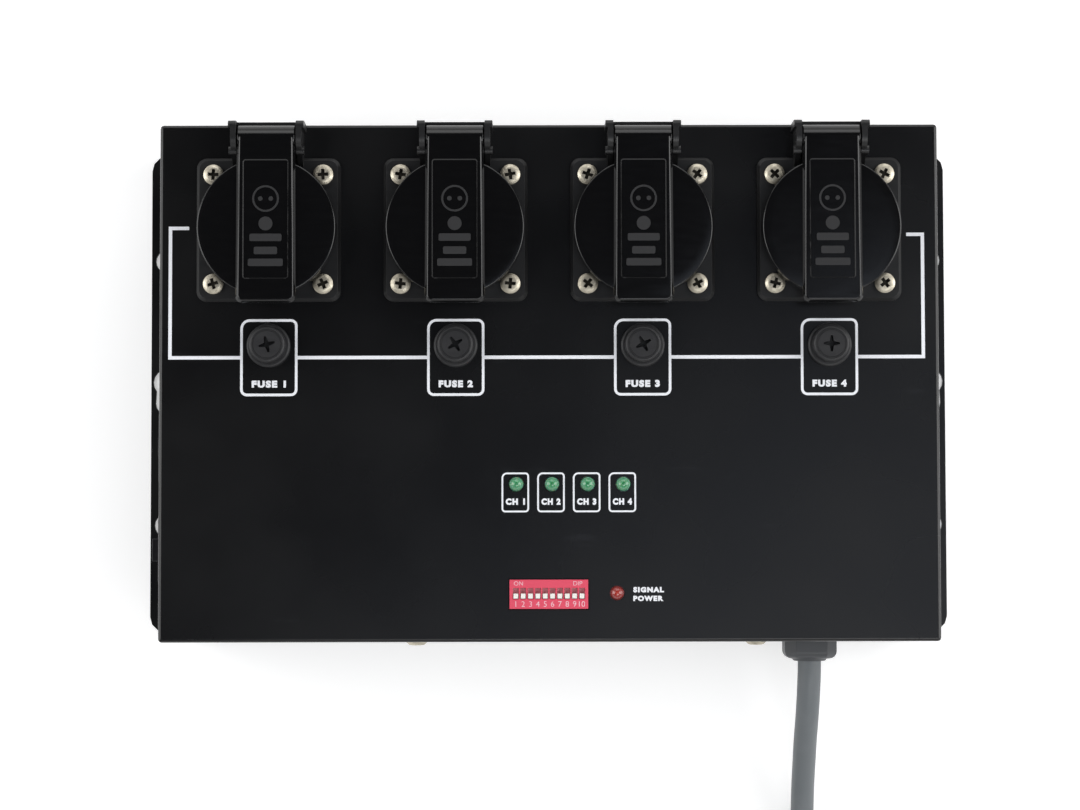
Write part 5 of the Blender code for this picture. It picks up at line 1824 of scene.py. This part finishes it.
@dataclass
class StrainRelief:
    """Snap-in strain relief: a square head with cut corners, a round nose, and a barbed tail."""

    lead_radius: float
    size: float = 18.5 * MM
    chamfer: float = 3.7 * MM
    head: float = 6.9 * MM
    rim: float = 2.6 * MM
    nose: float = 0.9 * MM
    nose_radius: float = 6.0 * MM
    nose_edge: float = 0.5 * MM
    nose_foot: float = 6.5 * MM
    neck_radius: float = 6.3 * MM
    neck_start: float = 3 * MM
    barb_radius: float = 7.2 * MM
    barb_depth: float = 1.5 * MM
    tail: float = 13.5 * MM
    bore_play: float = 0.15 * MM
    bore_depth: float = 6 * MM

    def outline(self, inset: float) -> list[Point]:
        """Return the head's square outline with cut corners, drawn in by an inset."""
        half = self.size / 2 - inset
        flat = self.size / 2 - self.chamfer - inset * (math.sqrt(2) - 1)
        corners = ((half, -flat), (half, flat), (flat, half), (-flat, half))
        return list(corners) + [(-x, -y) for x, y in corners]

    def build(self) -> Shape:
        """Return the strain relief in the lower wall, with the lead's bore in its nose."""
        high = PLAY + self.head
        face = high + self.nose
        layers = [(self.outline(0.0), PLAY), (self.outline(0.0), high - self.rim)]
        for degrees in (22, 45, 67, 90):
            angle = math.radians(degrees)
            inset = self.rim * (1 - math.cos(angle))
            layers.append((self.outline(inset), high - self.rim + self.rim * math.sin(angle)))
        profile = [(0.0, face)] + edge_round(self.nose_radius, face, self.nose_edge)
        profile += [(self.nose_foot, high), (self.neck_radius, PLAY + self.neck_start)]
        profile += [(self.neck_radius, -self.barb_depth), (self.barb_radius, -self.barb_depth)]
        profile += [(self.neck_radius, -self.tail), (0.0, -self.tail)]
        shape = united(loft(layers), lathe(profile, 48))
        bore = pillar(self.lead_radius + self.bore_play, face - self.bore_depth, face + 1 * MM, 32)
        middle = centre_of(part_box("cord_bushing"))
        stand = at(middle.x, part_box("cover")[0].y, middle.z) @ Matrix.Rotation(math.pi / 2, 4, "X")
        return placed(combined(shape, bore, Operation.CUT), stand)


@dataclass
class MainsPlug:
    """Moulded plug along its own Z: a ringed sleeve, a ribbed grip, and two round pins."""

    lead_radius: float
    radius: float = 18.6 * MM
    sleeve: float = 24 * MM
    body: float = 34 * MM
    edge: float = 1.5 * MM
    shoulder: float = 9.0 * MM
    sleeve_radius: float = 5.6 * MM
    sleeve_flare: float = 2.6 * MM
    ring_count: int = 6
    ring_section: tuple[Point, ...] = (
        (0.0, 0.8 * MM),
        (0.8 * MM, 1.1 * MM),
        (0.8 * MM, 2.2 * MM),
        (0.3 * MM, 2.5 * MM),
    )
    entry_depth: float = 7 * MM
    pin_radius: float = 2.4 * MM
    pin_length: float = 19 * MM
    pin_edge: float = 1.2 * MM
    pin_offset: float = 9.5 * MM
    rib_count: int = 36
    rib_sink: float = 0.4 * MM
    rib: Triple = (1.0 * MM, 1.2 * MM, 15 * MM)
    rib_share: float = 0.62

    def moulding(self) -> Shape:
        """Return the moulded body; each of the sleeve's rings has a section of insets and drops."""
        front = self.sleeve + self.body
        grip = self.sleeve + self.body / 3
        profile = [(0.0, front)] + edge_round(self.radius, front, self.edge)
        profile += [(self.radius, grip + self.edge), (self.radius - 2 * self.edge, grip - self.edge)]
        profile.append((self.shoulder, self.sleeve))
        for index in range(self.ring_count):
            share = 1 - index / self.ring_count
            reach = self.sleeve_radius + self.sleeve_flare * share
            height = self.sleeve * share
            profile += [(reach - inset, height - drop) for inset, drop in self.ring_section]
        profile += [(self.sleeve_radius, 0.0), (self.lead_radius, 0.0)]
        profile += [(self.lead_radius, self.entry_depth), (0.0, self.entry_depth)]
        return lathe(profile, 64)

    def pins(self) -> Shape:
        """Return the two round pins."""
        root = self.sleeve + self.body - 1 * MM
        tip = self.sleeve + self.body + self.pin_length
        profile = [(0.0, tip)] + edge_round(self.pin_radius, tip, self.pin_edge)
        profile += [(self.pin_radius, root), (0.0, root)]
        return joined([placed(lathe(profile, 32), at(0, side * self.pin_offset)) for side in (-1, 1)])

    def ribs(self) -> Shape:
        """Return the grip's ribs."""
        ring = RibRing(self.rib_count, self.radius - self.rib_sink, self.rib)
        return placed(ring.build(PLUG), at(z=self.sleeve + self.body * self.rib_share))


@dataclass
class CoilTie:
    """Woven band that holds the coil together, round its section on the far left."""

    lead_radius: float
    thickness: float = 0.6 * MM
    low: float = 0.05 * MM
    high: float = 18.2 * MM
    play: float = 1.2 * MM
    corner: float = 4.2 * MM
    half_length: float = 7 * MM
    direction: float = 165.0

    def build(self, centre: Vector, coil_radius: float) -> Shape:
        """Return the band around a coil with a given middle and mean radius."""
        width = 6 * self.lead_radius + self.play
        height = self.high - self.low
        outer = rounded(width + 2 * self.thickness, height, self.corner)
        inner = rounded(width, height - 2 * self.thickness, self.corner - self.thickness)
        strap = band(outer, inner, -self.half_length, self.half_length)
        middle = at(coil_radius, 0, (self.low + self.high) / 2)
        turned = Matrix.Rotation(math.radians(self.direction), 4, "Z")
        stand = Matrix.Rotation(math.pi / 2, 4, "X")
        return placed(strap, Matrix.Translation(centre) @ turned @ middle @ stand)


# The lead's route from its entry in the strain relief to the coil: X, Y, Z in metres
LEAD_ROUTE = (
    (0.0932, -0.0936, 0.0330),
    (0.0932, -0.0986, 0.0330),
    (0.0931, -0.1040, 0.0327),
    (0.0929, -0.1110, 0.0312),
    (0.0927, -0.1190, 0.0279),
    (0.0925, -0.1270, 0.0233),
    (0.0925, -0.1350, 0.0184),
    (0.0925, -0.1430, 0.0137),
    (0.0926, -0.1510, 0.0096),
    (0.0927, -0.1590, 0.0065),
    (0.0929, -0.1670, 0.0048),
    (0.0931, -0.1750, 0.0044),
    (0.0932, -0.1830, 0.0044),
    (0.0932, -0.1907, 0.0044),
)


@dataclass
class MainsLead:
    """Mains lead with its put-away coil, and the strain relief, plug and tie that belong to it."""

    length: float = 1.5
    radius: float = 4.2 * MM
    coil_radius: float = 50 * MM
    coil_centre_y: float = -222.5 * MM
    floor_gap: float = 0.2 * MM
    turn_steps: int = 60
    turns: float = 4.25
    climb: float = 0.35
    tail_reach: float = 45 * MM
    tail_start: Point = (7.5 * MM, 0.3 * MM)
    tail_straight: float = 9 * MM
    plug_depth: float = 6 * MM

    def coil_centre(self) -> Vector:
        """Return the coil's middle on the surface."""
        return Vector((LEAD_ROUTE[-1][0] - self.coil_radius - 2 * self.radius, self.coil_centre_y, 0))

    def turn_radius(self, turn: float) -> float:
        """Return the radius at a number of turns along the coil.

        Args:
            turn: Turns from the coil's start.

        Returns:
            The radius: spiralling in on the surface, then out in two steps on top of it.
        """
        diameter = 2 * self.radius
        inner = self.coil_radius - diameter
        if turn < 2:
            return self.coil_radius + diameter * (1 - turn)
        step = smooth_share((turn - 2) / self.climb)
        second = smooth_share((turn - 3) / self.climb)
        return inner + self.radius * step + diameter * second

    def coil_points(self) -> list[Vector]:
        """Return the coil's centreline, each turn resting on those below it."""
        centre = self.coil_centre()
        diameter = 2 * self.radius
        floor = self.floor_gap + self.radius
        count = round(self.turns * self.turn_steps)
        radii = [self.turn_radius(index / self.turn_steps) for index in range(count + 1)]
        heights = []
        for index, radius in enumerate(radii):
            height = floor
            for below in range(index - self.turn_steps, -1, -self.turn_steps):
                aside = radius - radii[below]
                if abs(aside) < diameter:
                    height = max(height, heights[below] + math.sqrt(diameter**2 - aside**2))
            heights.append(height)
        points = []
        for index, (radius, height) in enumerate(zip(radii, heights)):
            angle = -math.tau * index / self.turn_steps
            points.append(centre + Vector((radius * math.cos(angle), radius * math.sin(angle), height)))
        return points

    def plug_entry(self, plug: MainsPlug) -> Vector:
        """Return the point where the lead enters the plug, which lies on the surface."""
        centre = self.coil_centre()
        y = centre.y - self.coil_radius - self.radius
        return Vector((centre.x - self.tail_reach, y, plug.radius + self.floor_gap))

    def route(self, entry: Vector) -> list[Vector]:
        """Return the whole centreline.

        Args:
            entry: Where the lead enters the plug.

        Returns:
            The points from inside the strain relief to inside the plug.
        """
        lead = [Vector(LEAD_ROUTE[0])] + smooth_route([Vector(point) for point in LEAD_ROUTE[1:]])
        coil = self.coil_points()
        run = [lead[-1].lerp(coil[0], share) for share in (0.25, 0.5, 0.75)]
        last = coil[-1]
        along, lift = self.tail_start
        tail = [last, Vector((last.x - along, last.y, last.z + lift))]
        tail.append(Vector(((last.x + entry.x) / 2, entry.y, (last.z + entry.z) / 2)))
        tail += [entry + Vector((reach, 0, 0)) for reach in (self.tail_straight, 0, -self.plug_depth)]
        return lead + run + coil[:-1] + smooth_route(tail)

    def cord(self, entry: Vector) -> bpy.types.Object:
        """Return the lead as a round curve along its route, which ends in the plug."""
        points = self.route(entry)
        curve = bpy.data.curves.new("lead_cord", "CURVE")
        curve.dimensions = "3D"
        curve.bevel_depth = self.radius
        curve.bevel_resolution = 6
        curve.use_fill_caps = True
        spline = curve.splines.new("POLY")
        spline.points.add(len(points) - 1)
        for target, point in zip(spline.points, points):
            target.co = (*point, 1.0)
        spline.use_smooth = True
        curve.materials.append(LEAD.material())
        item = bpy.data.objects.new("lead_cord", curve)
        bpy.context.collection.objects.link(item)
        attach(item, CASE)
        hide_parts("mains_cord", "mains_cord_coil")
        LOG.info("lead_cord: %d points on %s", len(points), CASE)
        return item

    def dress(self) -> None:
        plug = MainsPlug(self.radius)
        entry = self.plug_entry(plug)
        place = Matrix.Translation(entry) @ Matrix.Rotation(-math.pi / 2, 4, "Y")
        tie = CoilTie(self.radius).build(self.coil_centre(), self.coil_radius)
        relief = StrainRelief(self.radius).build()
        flex = self.cord(entry)
        pieces = [
            dressed("lead_strain_relief", relief, NYLON, CASE, ["cord_bushing"], 0.15 * MM),
            dressed("lead_plug", placed(plug.moulding(), place), PLUG, CASE, ["mains_plug"]),
            dressed("lead_plug_pins", placed(plug.pins(), place), PLUG_PIN),
            dressed("lead_plug_ribs", placed(plug.ribs(), place), PLUG),
            dressed("lead_tie", tie, BAND),
        ]


@dataclass(frozen=True)
class Softbox:
    """Soft area lamp that faces the middle of the pack; place and size in metres, power in watts."""

    name: str
    place: Triple
    size: Point
    power: float
    colour: str = "#ffffff"

    def hang(self) -> None:
        """Add the lamp to the scene."""
        data = bpy.data.lights.new(self.name, "AREA")
        data.color = linear(self.colour)[:3]
        data.shape = "RECTANGLE"
        data.size, data.size_y = self.size
        data.energy = self.power
        place = Vector(self.place)
        item = bpy.data.objects.new(self.name, data)
        item.location = place
        item.rotation_euler = (PACK_MIDDLE - place).to_track_quat("-Z", "Y").to_euler()
        bpy.context.collection.objects.link(item)


PACK_MIDDLE = Vector((0, 0, 0.03))
SOFTBOXES = (
    Softbox("softbox_left", (-1.3, 0.1, 1.0), (1.0, 1.4), 12),
    Softbox("softbox_right", (1.3, 0.1, 1.0), (1.0, 1.4), 14),
    Softbox("softbox_top", (0.1, 1.3, 1.1), (1.4, 0.8), 6),
    Softbox("softbox_front", (0.3, -0.75, 1.5), (1.0, 0.5), 6),
    Softbox("softbox_ceiling", (0.18, -0.22, 1.6), (0.85, 0.5), 0.8, "#e4eeff"),
)


@dataclass
class Studio:
    """White surface, sky, soft lamps and the camera over the front panel."""

    camera_millimetres: Triple = (-5.45, -54.98, 1003.77)
    camera_degrees: Triple = (2.876, -0.130, -0.114)
    lens: float = 90.0
    floor_half: float = 3.0
    floor_thickness: float = 0.01
    floor_grey: float = 0.80
    glow_reach: Point = (0.5, 1.6)
    glow: Point = (0.45, 1.0)
    horizon: float = 0.18
    zenith: float = 0.78
    zenith_colour: tuple[float, float, float, float] = (0.022, 0.022, 0.025, 1)
    sky_light: float = 0.8

    def camera(self) -> None:
        """Set the camera almost straight above the panel, as in the photograph."""
        data = bpy.data.cameras.new("camera")
        data.lens = self.lens
        data.sensor_width = 36
        data.clip_start = 0.05
        item = bpy.data.objects.new("camera", data)
        item.location = Vector(self.camera_millimetres) * MM
        item.rotation_euler = Euler([math.radians(angle) for angle in self.camera_degrees])
        bpy.context.collection.objects.link(item)
        bpy.context.scene.camera = item

    def seen(self, tree: Tree) -> Node:
        """Add the test for rays that show the background, straight, mirrored or through glass."""
        path = add_node(tree, "ShaderNodeLightPath").outputs
        both = {0: path["Is Camera Ray"], 1: path["Is Glossy Ray"]}
        both = add_node(tree, MATH, both, operation="ADD")
        return add_node(tree, MATH, {0: both, 1: path["Is Transmission Ray"]}, operation="ADD")

    def floor(self) -> None:
        """Lay a white surface that keeps the shadow and glows more with distance, so its edge is lost."""
        side = 2 * self.floor_half
        item = plain_object(block(side, side, -self.floor_thickness, 0), "studio_floor")
        paper = bpy.data.materials.new("white_paper_sweep")
        paper.use_nodes = True
        tree = paper.node_tree
        shader = tree.nodes["Principled BSDF"]
        shader.inputs["Base Color"].default_value = (*[self.floor_grey] * 3, 1.0)
        shader.inputs["Roughness"].default_value = 0.9
        shader.inputs["Specular IOR Level"].default_value = 0.1
        shader.inputs["Emission Color"].default_value = (1, 1, 1, 1)
        place = add_node(tree, "ShaderNodeTexCoord").outputs["Object"]
        away = add_node(tree, "ShaderNodeVectorMath", {0: place}, operation="LENGTH").outputs["Value"]
        rise = {"Value": away, "From Min": self.glow_reach[0], "From Max": self.glow_reach[1]}
        rise |= {"To Min": self.glow[0], "To Max": self.glow[1]}
        rise = add_node(tree, "ShaderNodeMapRange", rise)
        glow = add_node(tree, MATH, {0: self.seen(tree), 1: rise}, operation="MULTIPLY")
        tree.links.new(glow.outputs[0], shader.inputs["Emission Strength"])
        item.data.materials.append(paper)

    def sky(self) -> None:
        """Keep the horizon white and the ceiling dark, for black gloss with pale edges."""
        world = bpy.data.worlds.new("studio_sky")
        bpy.context.scene.world = world
        world.use_nodes = True
        tree = world.node_tree
        ground = tree.nodes["Background"]
        way = add_node(tree, "ShaderNodeTexCoord").outputs["Generated"]
        up = add_node(tree, "ShaderNodeSeparateXYZ", {0: way}).outputs["Z"]
        ramp = add_node(tree, "ShaderNodeValToRGB", {"Fac": up})
        low, high = ramp.color_ramp.elements
        low.position = self.horizon
        low.color = (1, 1, 1, 1)
        high.position = self.zenith
        high.color = self.zenith_colour
        tree.links.new(ramp.outputs["Color"], ground.inputs["Color"])
        level = {"Value": self.seen(tree), "To Min": self.sky_light, "To Max": 1.0}
        level = add_node(tree, "ShaderNodeMapRange", level)
        tree.links.new(level.outputs["Result"], ground.inputs["Strength"])

    def build(self) -> None:
        """Set up the whole studio."""
        bpy.context.scene.view_settings.view_transform = "Standard"
        self.camera()
        self.floor()
        self.sky()
        for softbox in SOFTBOXES:
            softbox.hang()


# Degrees that the cross of each fuse cap is turned, as photographed
CAP_TURNS = (14, 32, 28, 0)


def main() -> None:
    """Dress the whole pack and set up the studio."""
    logging.basicConfig(level=logging.INFO, format="%(name)s: %(message)s")
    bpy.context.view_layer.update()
    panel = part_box("cover")[1].z
    Studio().build()
    MainsLead().dress()
    Housing().dress()
    PanelPrint(panel).dress()
    for number, turn in enumerate(CAP_TURNS, start=1):
        SocketOutlet(number, panel).dress()
        SocketLid(number).dress()
        FuseCarrier(number, panel, turn).dress()
        Lamp(f"channel_led_{number}", GREEN_EPOXY, panel).dress()
    Lamp("signal_led", RED_EPOXY, panel).dress()
    AddressSwitch(panel).dress()
    SignalConnector("dmx_input", True).dress()
    SignalConnector("dmx_output", False).dress()
    refined("dmx_latch", LATCH, 0.3 * MM)
    Electronics().dress()


if __name__ == "__main__":
    main()
